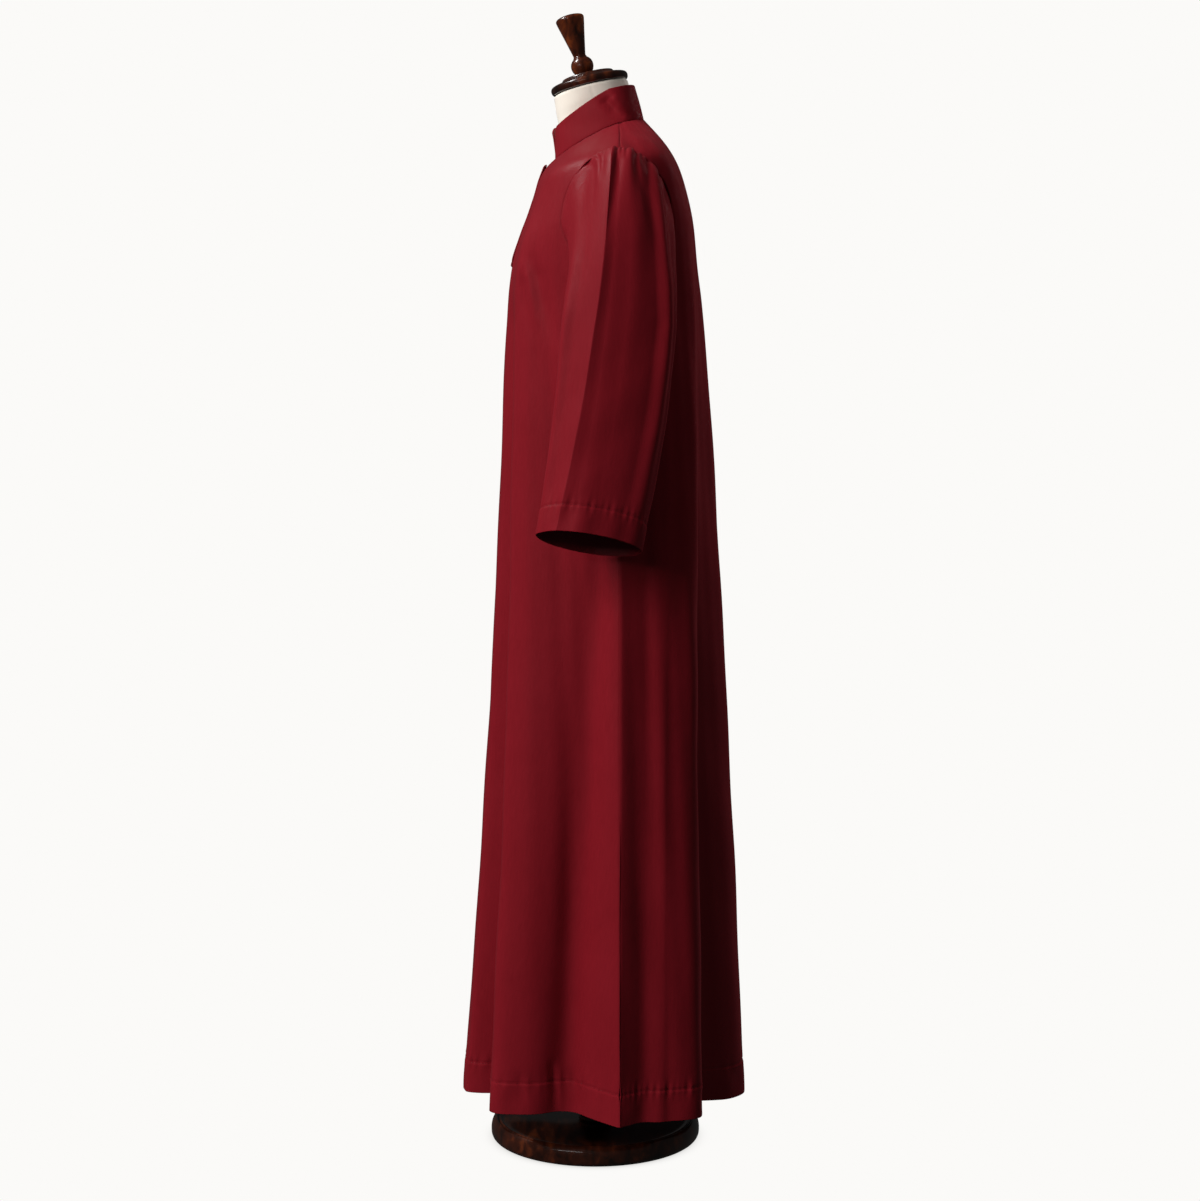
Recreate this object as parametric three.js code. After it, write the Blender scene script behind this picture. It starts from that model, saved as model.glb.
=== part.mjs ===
// Choir cassock on a limbless dress form with a turned wooden stand.
//
// Millimetres, +Z up. The origin is the centre of the stand's underside. The cassock's fronts
// face -Y and the wearer's left arm is on +X. The cloth is built as thin closed walls through
// rings: the body's rings run from the hem over the shoulders to the neck, and the sleeves'
// rings from the armhole to the cuff. Fold lines run across the rings and carry the drape.

import * as THREE from 'three';

// ------------------------------------------------------------------ driving sizes

const CLOTH = 1.5;              // wall of the body and sleeve cloth
const COLLAR_WALL = 2.4;        // the collar: two layers and an interlining
const FLY_WALL = 2;             // the fly strip: a folded edge, pressed flat
const SEAM_GAP = 0.3;           // between two pieces that a seam joins
const FORM_GAP = 0.7;           // between the cloth and the form that carries it
const SIDE_SEAM_Y = 33;         // the side and shoulder seams lie in this plane

const ARMHOLE = { height: 1288, tall: 98, front: 78, back: 71, scoop: 0.35 };   // half sizes of the oval
const ARMPIT = ARMHOLE.height - ARMHOLE.tall;
const SHOULDER_TIP = ARMHOLE.height + ARMHOLE.tall;
const NECK_HEIGHT = 1434;       // at the side of the neck
const HEM_HEIGHT = 90;          // at the side seam
const FOLDS_START = 1245;       // the folds fall free below this height, at the breast

// The body's rings. height is taken at the side seam; frontRise and backRise are how much
// higher the ring lies at the centre front and centre back, and sweep how late it gets there.
// half is half the width, front and back are the ring's Y at the two centres, and square is
// the exponent of the oval.
const BODY_RINGS = [
  { height: 90, half: 247, front: -188, back: 215, frontRise: -12, backRise: -26, square: 2.0, sweep: 6.0 },
  { height: 285, half: 239, front: -173, back: 205, frontRise: -4, backRise: -8, square: 2.1, sweep: 5.0 },
  { height: 460, half: 231, front: -160, back: 196, frontRise: 0, backRise: 0, square: 2.1, sweep: 3.0 },
  { height: 760, half: 216, front: -142, back: 180, frontRise: 0, backRise: 0, square: 2.2, sweep: 3.0 },
  { height: 1015, half: 206, front: -130, back: 164, frontRise: 0, backRise: 0, square: 2.4, sweep: 2.0 },
  { height: 1190, half: 203, front: -121, back: 149, frontRise: 0, backRise: 0, square: 2.6, sweep: 1.3 },
  { height: 1245, half: 203, front: -115, back: 142, frontRise: -4, backRise: 0, square: 2.8, sweep: 1.3 },
  { height: 1310, half: 203, front: -100.5, back: 136, frontRise: -22, backRise: -10, square: 3.0, sweep: 1.3 },
  { height: 1355, half: 203, front: -86.5, back: 125.5, frontRise: -30, backRise: -10, square: 3.0, sweep: 1.3 },
  { height: 1386, half: 203, front: -78.5, back: 113.5, frontRise: -34, backRise: -6, square: 3.0, sweep: 1.3 },
  { height: 1391, half: 191, front: -77, back: 109.5, frontRise: -34, backRise: -3, square: 2.9, sweep: 1.3 },
  { height: 1402, half: 160, front: -72.5, back: 101, frontRise: -34, backRise: 3, square: 2.7, sweep: 1.3 },
  { height: 1418, half: 112, front: -65, back: 84, frontRise: -38, backRise: 7, square: 2.4, sweep: 1.25 },
  { height: 1434, half: 63, front: -56, back: 68, frontRise: -44, backRise: 10, square: 2.0, sweep: 1.2 },
];

// The skirt's fold lines on one side, from the centre front (0 degrees) past the side seam
// (90) to the centre back (180). depth is how far the line stands out of the plain ring at
// the hem and at the breast, in millimetres, and hollows are negative. drift is how late the
// line leaves its hem angle on the way up. crisp lines are pressed edges. The other side of
// the skirt has the same lines at otherDepth times the depth.
const FOLD_LINES = [
  { line: 'centre front', hem: 0, top: 0, drift: 1, depth: 0, topDepth: 0, crisp: 0, otherDepth: 1 },
  { line: 'front hollow', hem: 25, top: 19, drift: 1, depth: -50, topDepth: -1, crisp: 0, otherDepth: 0.8 },
  { line: 'front ridge', hem: 43, top: 34, drift: 1.5, depth: 15, topDepth: 4, crisp: 0, otherDepth: 1.1 },
  { line: 'breast hollow', hem: 68, top: 47, drift: 5, depth: -46, topDepth: -4, crisp: 0, otherDepth: 0.85 },
  { line: 'side seam', hem: 90, top: 90, drift: 1, depth: 3, topDepth: 0, crisp: 1, otherDepth: 1 },
  { line: 'seam hollow', hem: 101, top: 104, drift: 1, depth: -17, topDepth: -1, crisp: 0, otherDepth: 1.2 },
  { line: 'hip swell', hem: 111, top: 122, drift: 2, depth: -8, topDepth: 1, crisp: 0, otherDepth: 0.9 },
  { line: 'back ridge', hem: 125, top: 144, drift: 3, depth: 3, topDepth: 3, crisp: 0, otherDepth: 1.3 },
  { line: 'back hollow', hem: 148, top: 158, drift: 2, depth: -60, topDepth: -3, crisp: 0, otherDepth: 0.8 },
  { line: 'centre back', hem: 180, top: 180, drift: 1, depth: 0, topDepth: 0, crisp: 0, otherDepth: 1 },
];
const SIDE_SEAM_LINE = 4;       // its place in FOLD_LINES
const CENTRE_BACK_LINE = 9;

// The sleeve below its head. x, y and height are the ring's centre, wide is half its size
// along Y and deep half its size along X; outRise and frontRise lift its outer and its front
// edge.
const SLEEVE_RINGS = [
  { height: 1150, x: 247, y: 31, wide: 74, deep: 36, outRise: 6, frontRise: 0 },
  { height: 1055, x: 253, y: 22, wide: 73.5, deep: 36, outRise: 8, frontRise: 2 },
  { height: 965, x: 259, y: 9, wide: 71, deep: 35, outRise: 12, frontRise: 6 },
  { height: 872.5, x: 266, y: -7.5, wide: 67.5, deep: 36, outRise: 15.5, frontRise: 11 },
];

// The sleeve's fold lines, by the angle round the arm: 0 at the front, 90 on top of the
// shoulder and on the outer side below it, 180 at the back and 270 under the arm. Each has
// its angle and its depth at the head, at the elbow and at the cuff.
const SLEEVE_LINES = [
  { line: 'front edge', head: 18, elbow: 14, cuff: 8, headDepth: 0, elbowDepth: 1, cuffDepth: 1, crisp: 0, columns: 4 },
  { line: 'front hollow', head: 50, elbow: 38, cuff: 30, headDepth: -7, elbowDepth: -3, cuffDepth: -1, crisp: 0, columns: 11 },
  { line: 'pressed crease', head: 84, elbow: 60, cuff: 51, headDepth: 2, elbowDepth: 6, cuffDepth: 4, crisp: 1, columns: 3 },
  { line: 'crease hollow', head: 92, elbow: 69, cuff: 66, headDepth: -7, elbowDepth: -4, cuffDepth: -1, crisp: 0, columns: 4 },
  { line: 'outer ridge', head: 104, elbow: 92, cuff: 90, headDepth: 2, elbowDepth: 2, cuffDepth: 0, crisp: 0, columns: 5 },
  { line: 'rear hollow', head: 118, elbow: 133, cuff: 125, headDepth: -10, elbowDepth: -7, cuffDepth: -1, crisp: 0, columns: 5 },
  { line: 'rear ridge', head: 132, elbow: 152, cuff: 150, headDepth: 2, elbowDepth: 3, cuffDepth: 1, crisp: 0, columns: 3 },
  { line: 'shoulder hollow', head: 150, elbow: 168, cuff: 168, headDepth: -8, elbowDepth: -1, cuffDepth: 0, crisp: 0, columns: 3 },
  { line: 'back edge', head: 172, elbow: 186, cuff: 186, headDepth: 0, elbowDepth: 1, cuffDepth: 1, crisp: 0, columns: 3 },
  { line: 'inner hollow', head: 235, elbow: 240, cuff: 240, headDepth: 0, elbowDepth: -2, cuffDepth: -1, crisp: 0, columns: 2 },
  { line: 'underarm seam', head: 270, elbow: 270, cuff: 270, headDepth: 0, elbowDepth: 0, cuffDepth: 0, crisp: 0, columns: 2 },
  { line: 'inner front', head: 310, elbow: 310, cuff: 310, headDepth: 0, elbowDepth: -2, cuffDepth: -1, crisp: 0, columns: 4 },
];
const HEAD_GATHERS = { count: 9, from: 54, to: 135, depth: 1.8, reach: 0.3 };  // reach: of the head

// The torso form below the shoulders, and its neck. The columns are those of the body's
// rings, and mid is the Y of the widest place.
const FORM_RINGS = [
  { height: 800, half: 158, front: -98, back: 108, frontRise: 0, backRise: 0, square: 2.3, sweep: 1, mid: 20 },
  { height: 880, half: 160, front: -100, back: 112, frontRise: 0, backRise: 0, square: 2.3, sweep: 1, mid: 20 },
  { height: 1010, half: 128, front: -82, back: 88, frontRise: 0, backRise: 0, square: 2.2, sweep: 1, mid: 20 },
  { height: 1110, half: 148, front: -98, back: 104, frontRise: 0, backRise: 0, square: 2.3, sweep: 1, mid: 25 },
  { height: 1190, half: 170, front: -113, back: 125, frontRise: 0, backRise: 0, square: 2.5, sweep: 1.3, mid: 33 },
  { height: 1245, half: 180, front: -111, back: 133, frontRise: -4, backRise: 0, square: 2.7, sweep: 1.3, mid: 33 },
  { height: 1310, half: 187, front: -97.5, back: 132, frontRise: -22, backRise: -10, square: 2.8, sweep: 1.3, mid: 33 },
  { height: 1355, half: 190, front: -83.5, back: 122, frontRise: -30, backRise: -10, square: 2.8, sweep: 1.3, mid: 33 },
];
const FORM_NECK = [
  { height: 1429, half: 58, front: -52, back: 61.5, frontRise: -44, backRise: 9, square: 2.0, sweep: 1.2, mid: 25 },
  { height: 1441, half: 51.5, front: -49.5, back: 57.5, frontRise: -42, backRise: 9, square: 2.0, sweep: 1.1, mid: 20 },
  { height: 1462, half: 49, front: -50.5, back: 50.5, frontRise: -28, backRise: 9, square: 2.0, sweep: 1.1, mid: 4 },
  { height: 1475, half: 50.5, front: -54, back: 48.5, frontRise: -20, backRise: 11, square: 2.0, sweep: 1.0, mid: -3 },
  { height: 1488, half: 51.5, front: -57, back: 44.5, frontRise: -12.2, backRise: 12.2, square: 2.0, sweep: 1.0, mid: -6.5 },
];

const CAP = { y: -6.5, height: 1489, tilt: 13.4, radius: 54.6, rim: 11, step: 18 };   // on the sloping neck
const FINIAL = { y: -14.4, height: 1506.2, tilt: 15.2, bead: 15.5 };   // it leans a little more than the cap
const STAND = { radius: 150, thick: 28 };
const POLE = { radius: 15, foot: 24 };

// ------------------------------------------------------------------ materials

const cloth = new THREE.MeshStandardMaterial({ name: 'cassock_cloth', color: '#74161d', roughness: 0.75, metalness: 0 });
const jersey = new THREE.MeshStandardMaterial({ name: 'form_jersey', color: '#ece0d0', roughness: 0.9, metalness: 0 });
const wood = new THREE.MeshStandardMaterial({ name: 'dark_wood', color: '#2a130b', roughness: 0.3, metalness: 0 });

// ------------------------------------------------------------------ curves through a table

const radians = (degrees) => degrees * Math.PI / 180;
const mix = (a, b, t) => a + (b - a) * t;
const clamp01 = (t) => Math.min(1, Math.max(0, t));

// Slope of column at row i, levelled at its high and low places so that nothing overshoots.
function rowSlope(rows, key, column, i) {
  if (i === 0 || i === rows.length - 1) return 0;
  const before = (rows[i][column] - rows[i - 1][column]) / (rows[i][key] - rows[i - 1][key]);
  const after = (rows[i + 1][column] - rows[i][column]) / (rows[i + 1][key] - rows[i][key]);
  return before * after <= 0 ? 0 : 2 * before * after / (before + after);
}

// A row of the table at any value of its key column, smooth between the rows.
function rowAt(rows, key, value) {
  let i = 0;
  while (i < rows.length - 2 && value > rows[i + 1][key]) i += 1;
  const span = rows[i + 1][key] - rows[i][key];
  const t = clamp01((value - rows[i][key]) / span);
  const row = { [key]: value };
  for (const column of Object.keys(rows[i])) {
    if (column === key || typeof rows[i][column] !== 'number') continue;
    const a = rows[i][column];
    const b = rows[i + 1][column];
    const startSlope = i === 0 ? (b - a) / span : rowSlope(rows, key, column, i);
    const endSlope = i === rows.length - 2 ? (b - a) / span : rowSlope(rows, key, column, i + 1);
    row[column] = a * (1 + 2 * t) * (1 - t) ** 2 + b * t * t * (3 - 2 * t)
      + span * (startSlope * t * (1 - t) ** 2 + endSlope * t * t * (t - 1));
  }
  return row;
}

// From 0 to 1: flat at a soft fold line, and straight at a crisp one.
function ease(t, crispStart, crispEnd) {
  const start = 1.6 * crispStart;
  const end = 1.6 * crispEnd;
  return t * t * (3 - 2 * t) + start * t * (1 - t) ** 2 + end * t * t * (t - 1);
}

// ------------------------------------------------------------------ the body

// A point on a ring: angle 0 is the centre front, 90 the left side and 180 the centre back.
function ringPoint(ring, angle) {
  const mid = ring.mid ?? SIDE_SEAM_Y;
  const sine = Math.sin(radians(angle));
  const cosine = Math.cos(radians(angle));
  const across = Math.sign(sine) * Math.abs(sine) ** (2 / ring.square);
  const along = Math.abs(cosine) ** (2 / ring.square);
  const toFront = cosine > 0;
  const y = toFront ? mid + (ring.front - mid) * along : mid + (ring.back - mid) * along;
  const rise = (toFront ? ring.frontRise : ring.backRise) * along ** ring.sweep;
  return new THREE.Vector3(ring.half * across, y, ring.height + rise);
}

// The angle and the depth of a fold line at a height. side is 1 on the left, -1 on the right.
function foldAt(line, height, side) {
  const up = clamp01((height - HEM_HEIGHT) / (FOLDS_START - HEM_HEIGHT));
  const fade = 1 - clamp01((height - FOLDS_START) / (SHOULDER_TIP - FOLDS_START));
  const angle = mix(line.hem, line.top, up ** line.drift);
  const depth = mix(line.depth, line.topDepth, up) * fade * (side < 0 ? line.otherDepth : 1);
  return { angle, depth };
}

// How far the folds stand out of the plain ring at an angle.
function foldDepth(angle, height, side) {
  let i = 0;
  while (i < FOLD_LINES.length - 2 && angle > foldAt(FOLD_LINES[i + 1], height, side).angle) i += 1;
  const a = foldAt(FOLD_LINES[i], height, side);
  const b = foldAt(FOLD_LINES[i + 1], height, side);
  const t = clamp01((angle - a.angle) / (b.angle - a.angle));
  return mix(a.depth, b.depth, ease(t, FOLD_LINES[i].crisp, FOLD_LINES[i + 1].crisp));
}

// A point of the cloth. place counts fold lines from the centre front: 2.5 is half-way from
// line 2 to line 3. row.reach draws the angles of a front or a back in from the armhole, and
// is 1 where there is none.
function bodyPoint(place, row, side) {
  const { height, reach, toFront } = row;
  const i = Math.min(FOLD_LINES.length - 2, Math.max(0, Math.floor(place)));
  const plain = mix(foldAt(FOLD_LINES[i], height, side).angle, foldAt(FOLD_LINES[i + 1], height, side).angle, place - i);
  const angle = toFront ? plain * reach : 180 - (180 - plain) * reach;
  const depth = foldDepth(angle, height, side);
  const ring = rowAt(BODY_RINGS, 'height', height);
  const turn = 0.5;
  const out = ringPoint(ring, angle + turn).sub(ringPoint(ring, angle - turn));
  const point = ringPoint(ring, angle);
  const outward = new THREE.Vector3(out.y, -out.x, 0).normalize();
  point.addScaledVector(outward, depth);
  point.x *= side;
  return point;
}

// The armhole is an oval in side view, scooped out at the lower front. This gives its point at
// an angle (0 front, 90 top), and the height of the body ring that passes through it.
function armholePoint(angle) {
  const toFront = Math.cos(radians(angle)) > 0;
  const sine = Math.sin(radians(angle));
  const reachOut = toFront ? ARMHOLE.front * (1 + ARMHOLE.scoop * Math.min(0, sine)) : ARMHOLE.back;
  const y = SIDE_SEAM_Y - reachOut * Math.cos(radians(angle));
  const z = ARMHOLE.height + ARMHOLE.tall * sine;
  let height = z;
  let along = 0;
  let ring = rowAt(BODY_RINGS, 'height', height);
  for (let step = 0; step < 12; step += 1) {
    along = (y - SIDE_SEAM_Y) / ((toFront ? ring.front : ring.back) - SIDE_SEAM_Y);
    const rise = (toFront ? ring.frontRise : ring.backRise) * along ** ring.sweep;
    height = Math.min(SHOULDER_TIP, Math.max(ARMPIT, z - rise));
    ring = rowAt(BODY_RINGS, 'height', height);
  }
  const x = ring.half * (1 - along ** ring.square) ** (1 / ring.square);
  const edge = Math.asin(Math.min(1, (x / ring.half) ** (ring.square / 2)));
  return { point: new THREE.Vector3(x, y, z), height, reach: edge / (Math.PI / 2) };
}

const SKIRT_HEIGHTS = [90, 180, 290, 420, 560, 700, 840, 960, 1050, 1130];
const SHOULDER_HEIGHTS = [1391, 1404, 1419, NECK_HEIGHT];
const ARMHOLE_STEPS = 12;

// The rows of a body panel, from hem to neck: each has its height and its reach.
function panelRows(toFront) {
  const plain = (height) => ({ height, reach: 1, toFront });
  const rows = SKIRT_HEIGHTS.map(plain);
  for (let k = 0; k <= ARMHOLE_STEPS; k += 1) {
    const swing = -90 + 180 * k / ARMHOLE_STEPS;
    const { height, reach } = armholePoint(toFront ? swing : 180 - swing);
    const onSeam = k === 0 || k === ARMHOLE_STEPS;
    rows.push(onSeam ? plain(k === 0 ? ARMPIT : SHOULDER_TIP) : { height, reach, toFront });
  }
  return rows.concat(SHOULDER_HEIGHTS.map(plain));
}

// The outward direction of a surface, from its neighbours on both sides.
function outwardAt(surface, u, v, du, dv) {
  const across = surface(u + du, v).sub(surface(u - du, v));
  const up = surface(u, v + dv).sub(surface(u, v - dv));
  return across.cross(up).normalize();
}

// ------------------------------------------------------------------ closed walls

// A closed wall from rows of points and the inward way at each. Rows and columns may close on
// themselves, as a sleeve's columns do.
function wall(outer, inner, roundTube) {
  const rows = outer.length;
  const columns = outer[0].length;
  const points = [...outer.flat(), ...inner.flat()];
  const inside = rows * columns;
  const at = (r, c) => r * columns + (c % columns);
  const faces = [];
  const quad = (a, b, c, d) => faces.push(a, b, c, a, c, d);
  const spans = roundTube ? columns : columns - 1;
  for (let r = 0; r < rows - 1; r += 1) {
    for (let c = 0; c < spans; c += 1) {
      quad(at(r, c), at(r, c + 1), at(r + 1, c + 1), at(r + 1, c));
      quad(inside + at(r, c), inside + at(r + 1, c), inside + at(r + 1, c + 1), inside + at(r, c + 1));
    }
    if (!roundTube) {
      const last = columns - 1;
      quad(at(r, 0), at(r + 1, 0), inside + at(r + 1, 0), inside + at(r, 0));
      quad(at(r + 1, last), at(r, last), inside + at(r, last), inside + at(r + 1, last));
    }
  }
  for (let c = 0; c < spans; c += 1) {
    quad(at(0, c + 1), at(0, c), inside + at(0, c), inside + at(0, c + 1));
    quad(at(rows - 1, c), at(rows - 1, c + 1), inside + at(rows - 1, c + 1), inside + at(rows - 1, c));
  }
  return closedGeometry(points, faces);
}

// A geometry whose faces point out, whichever way round the rows ran.
function closedGeometry(points, faces) {
  let volume = 0;
  for (let f = 0; f < faces.length; f += 3) {
    const [a, b, c] = [points[faces[f]], points[faces[f + 1]], points[faces[f + 2]]];
    volume += a.dot(b.clone().cross(c));
  }
  const geometry = new THREE.BufferGeometry();
  geometry.setAttribute('position', new THREE.Float32BufferAttribute(points.flatMap((p) => [p.x, p.y, p.z]), 3));
  geometry.setIndex(volume > 0 ? faces : faces.reverse());
  geometry.computeVertexNormals();
  return geometry;
}

function piece(name, geometry, material) {
  const mesh = new THREE.Mesh(geometry, material);
  mesh.name = name;
  return mesh;
}

// ------------------------------------------------------------------ body panels

const FRONT_COLUMNS = [4, 4, 4, 4];          // columns in each stretch between fold lines
const BACK_COLUMNS = [3, 3, 3, 4, 4];

// The places of a panel's columns between two fold lines.
function places(firstLine, counts) {
  const list = [firstLine];
  counts.forEach((count, stretch) => {
    for (let k = 1; k <= count; k += 1) list.push(firstLine + stretch + k / count);
  });
  return list;
}

// The cloth's surface at a column place, moved along its outward direction by lift.
function panelPoint(place, row, side, lift) {
  const point = bodyPoint(place, row, side);
  if (lift === 0) return point;
  const surface = (u, height) => bodyPoint(u, { ...row, height }, 1);
  const inside = mix(0.02, CENTRE_BACK_LINE - 0.02, place / CENTRE_BACK_LINE);
  const normal = outwardAt(surface, inside, row.height, 0.02, 2);
  normal.x *= side;
  return point.addScaledVector(normal, lift);
}

function frontPanel(side) {
  const rows = panelRows(true);
  const columns = places(0, FRONT_COLUMNS);
  const last = columns.length - 1;
  const grid = (lift) => rows.map((row) => columns.map((place, c) => {
    const point = panelPoint(place, row, side, lift);
    if (c === 0) point.x = side * SEAM_GAP / 2;
    if (c === last) point.y -= SEAM_GAP / 2;
    return point;
  }));
  return wall(grid(0), grid(-CLOTH), false);
}

function backPanel() {
  const rows = panelRows(false);
  const half = places(SIDE_SEAM_LINE, BACK_COLUMNS);
  const left = half.map((place) => ({ place, side: 1 }));
  const right = half.slice(0, -1).reverse().map((place) => ({ place, side: -1 }));
  const columns = [...left, ...right];
  const last = columns.length - 1;
  const grid = (lift) => rows.map((row) => columns.map(({ place, side }, c) => {
    const point = panelPoint(place, row, side, lift);
    if (c === 0 || c === last) point.y += SEAM_GAP / 2;
    return point;
  }));
  return wall(grid(0), grid(-CLOTH), false);
}

// ------------------------------------------------------------------ sleeves

const HEAD_END = 0.42;          // the part of the sleeve's length that its head takes
const SLEEVE_CLEAR = 1.05;      // the seam gap, and room for the facets of the two edges
const HEAD_ROWS = [0, 0.05, 0.12, 0.22, 0.4, 0.68];    // parts of the head's length
const ARM_ROWS = 5;

function sleeveRingPoint(ring, angle) {
  const sine = Math.sin(radians(angle));
  const cosine = Math.cos(radians(angle));
  return new THREE.Vector3(
    ring.x + ring.deep * sine,
    ring.y - ring.wide * cosine,
    ring.height + ring.outRise * sine + ring.frontRise * cosine,
  );
}

// The way the head leaves the armhole: out at the underarm, more so at the shoulder, and
// falling or rising with the height on the armhole; inward keeps the front of the head in.
const SPRING = { out: 0.6, outAtTop: 0.4, inward: 0.42, fall: -0.55, rise: 0.72 };
const HANG = { x: 0.06, y: -0.08, z: -1 };     // the way the head meets the arm
const HEAD_FULLNESS = 0.95;                     // how far both ways carry, by their distance

// The plain sleeve without its folds: length is 0 at the armhole and 1 at the cuff. The head
// springs outward from the armhole and turns down into the arm's first ring.
function plainSleeve(angle, length) {
  if (length >= HEAD_END) {
    const top = SLEEVE_RINGS[0].height;
    const cuff = SLEEVE_RINGS[SLEEVE_RINGS.length - 1].height;
    const height = mix(top, cuff, (length - HEAD_END) / (1 - HEAD_END));
    const rows = SLEEVE_RINGS.map((row) => ({ ...row, drop: top - row.height }));
    return sleeveRingPoint(rowAt(rows, 'drop', top - height), angle);
  }
  const sine = Math.sin(radians(angle));
  const start = armholePoint(angle).point;
  start.x += SLEEVE_CLEAR;
  const end = sleeveRingPoint(SLEEVE_RINGS[0], angle);
  const distance = start.distanceTo(end);
  const inward = SPRING.inward * Math.max(0, Math.cos(radians(angle)));
  const spring = new THREE.Vector3(SPRING.out + SPRING.outAtTop * sine, inward, SPRING.fall + SPRING.rise * sine);
  spring.normalize().multiplyScalar(distance * HEAD_FULLNESS);
  const hang = new THREE.Vector3(HANG.x, HANG.y, HANG.z).multiplyScalar(distance * HEAD_FULLNESS);
  const t = length / HEAD_END;
  const point = start.multiplyScalar((1 + 2 * t) * (1 - t) ** 2);
  point.addScaledVector(end, t * t * (3 - 2 * t));
  point.addScaledVector(spring, t * (1 - t) ** 2);
  point.addScaledVector(hang, t * t * (t - 1));
  return point;
}

// A value that runs from the head over the elbow to the cuff.
function threeWay(head, elbow, cuff, length) {
  return length < HEAD_END ? mix(head, elbow, length / HEAD_END)
    : mix(elbow, cuff, (length - HEAD_END) / (1 - HEAD_END));
}

// The fold line before a column, and how far the column lies on the way to the next. A column
// is named by its angle at the head, headAngle, and follows the fold lines down the sleeve.
function betweenLines(headAngle) {
  const lines = SLEEVE_LINES;
  const angle = headAngle < lines[0].head ? headAngle + 360 : headAngle;
  let i = lines.length - 1;
  while (angle < lines[i].head) i -= 1;
  const next = lines[(i + 1) % lines.length];
  const nextHead = next.head + (i + 1 === lines.length ? 360 : 0);
  return { line: lines[i], next, t: (angle - lines[i].head) / (nextHead - lines[i].head) };
}

function columnAngle(headAngle, length) {
  const { line, next, t } = betweenLines(headAngle);
  const from = threeWay(line.head, line.elbow, line.cuff, length);
  let to = threeWay(next.head, next.elbow, next.cuff, length);
  if (to < from) to += 360;
  return mix(from, to, t);
}

function sleeveDepth(headAngle, length) {
  const { line, next, t } = betweenLines(headAngle);
  const from = threeWay(line.headDepth, line.elbowDepth, line.cuffDepth, length);
  const to = threeWay(next.headDepth, next.elbowDepth, next.cuffDepth, length);
  const seamFade = Math.min(1, length / 0.05);
  return mix(from, to, ease(t, line.crisp, next.crisp)) * seamFade + gatherDepth(headAngle, length);
}

// The small gathers under the shoulder seam, which fade out down the sleeve's head.
function gatherDepth(angle, length) {
  const { count, from, to, depth, reach } = HEAD_GATHERS;
  const t = (angle - from) / (to - from);
  if (t <= 0 || t >= 1) return 0;
  const fade = (1 - clamp01(length / (HEAD_END * reach))) * Math.min(1, length / 0.012 + 0.2);
  const edge = Math.sin(Math.PI * t) ** 0.5;
  return depth * edge * fade * Math.sin(2 * Math.PI * count * t);
}

function sleeve(side) {
  const lengths = HEAD_ROWS.map((t) => t * HEAD_END);
  for (let k = 0; k <= ARM_ROWS; k += 1) lengths.push(mix(HEAD_END, 1, k / ARM_ROWS));
  const surface = (headAngle, length) => plainSleeve(columnAngle(headAngle, length), length);
  const grid = (lift) => lengths.map((length) => sleeveColumns().map((headAngle) => {
    const inside = Math.min(0.998, Math.max(0.002, length));
    const normal = outwardAt(surface, headAngle, inside, 1, 0.002);
    const point = surface(headAngle, length);
    point.addScaledVector(normal, -sleeveDepth(headAngle, length) - lift);
    point.x *= side;
    return point;
  }));
  return wall(grid(0), grid(-CLOTH), true);
}

// The head angles of the columns: each line's own count of them up to the next line.
function sleeveColumns() {
  return SLEEVE_LINES.flatMap((line, i) => {
    const next = SLEEVE_LINES[i + 1] ?? { head: SLEEVE_LINES[0].head + 360 };
    return Array.from({ length: line.columns }, (_, k) => mix(line.head, next.head, k / line.columns) % 360);
  });
}

// ------------------------------------------------------------------ collar and fly

const COLLAR = { half: 57, front: -55.5, back: 55, frontHeight: 1434, sideHeight: 1481, backHeight: 1491 };
const COLLAR_COLUMNS = 40;
const COLLAR_ROWS = 3;
const COLLAR_OPENING = 5;       // degrees from the centre front to each end
const COLLAR_CORNER = 9;        // degrees over which the top edge rounds off at each end
const CORNER_DROP = 0.16;       // how far it drops there, as a part of the collar's height

// The stand collar. up is 0 at the neck seam and 1 at the top edge.
function collarPoint(angle, up) {
  const base = rowAt(BODY_RINGS, 'height', NECK_HEIGHT);
  const top = {
    height: COLLAR.sideHeight, half: COLLAR.half, front: COLLAR.front, back: COLLAR.back,
    frontRise: COLLAR.frontHeight - COLLAR.sideHeight, backRise: COLLAR.backHeight - COLLAR.sideHeight,
    square: 2, sweep: 1.1, mid: 20,
  };
  const low = ringPoint({ ...base, mid: SIDE_SEAM_Y }, angle);
  const high = ringPoint(top, angle);
  low.z += SEAM_GAP + 0.1;
  return low.lerp(high, up);
}

function collar() {
  const steps = COLLAR_COLUMNS;
  const angles = [];
  for (let k = 0; k <= steps; k += 1) angles.push(mix(COLLAR_OPENING, 360 - COLLAR_OPENING, k / steps));
  const grid = (lift) => {
    const rows = [];
    for (let r = 0; r <= COLLAR_ROWS; r += 1) {
      rows.push(angles.map((angle) => {
        const fromEnd = Math.min(angle, 360 - angle) - COLLAR_OPENING;
        const corner = Math.max(0, 1 - fromEnd / COLLAR_CORNER) ** 2 * CORNER_DROP;
        const up = r / COLLAR_ROWS * (1 - corner);
        const normal = outwardAt(collarPoint, angle, 0.5, 1, 0.2);
        return collarPoint(angle, up).addScaledVector(normal, lift);
      }));
    }
    return rows;
  };
  return wall(grid(0), grid(-COLLAR_WALL), false);
}

// The fly strip covers the centre front from the neck to the breast. It lies on both fronts
// and stands off a little at its top end.
const FLY = { top: 1379, bottom: 1242, from: -9, to: 27, curl: 2.2, curlReach: 24 };
const FLY_ROWS = 8;
const FLY_COLUMNS = 4;

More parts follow.
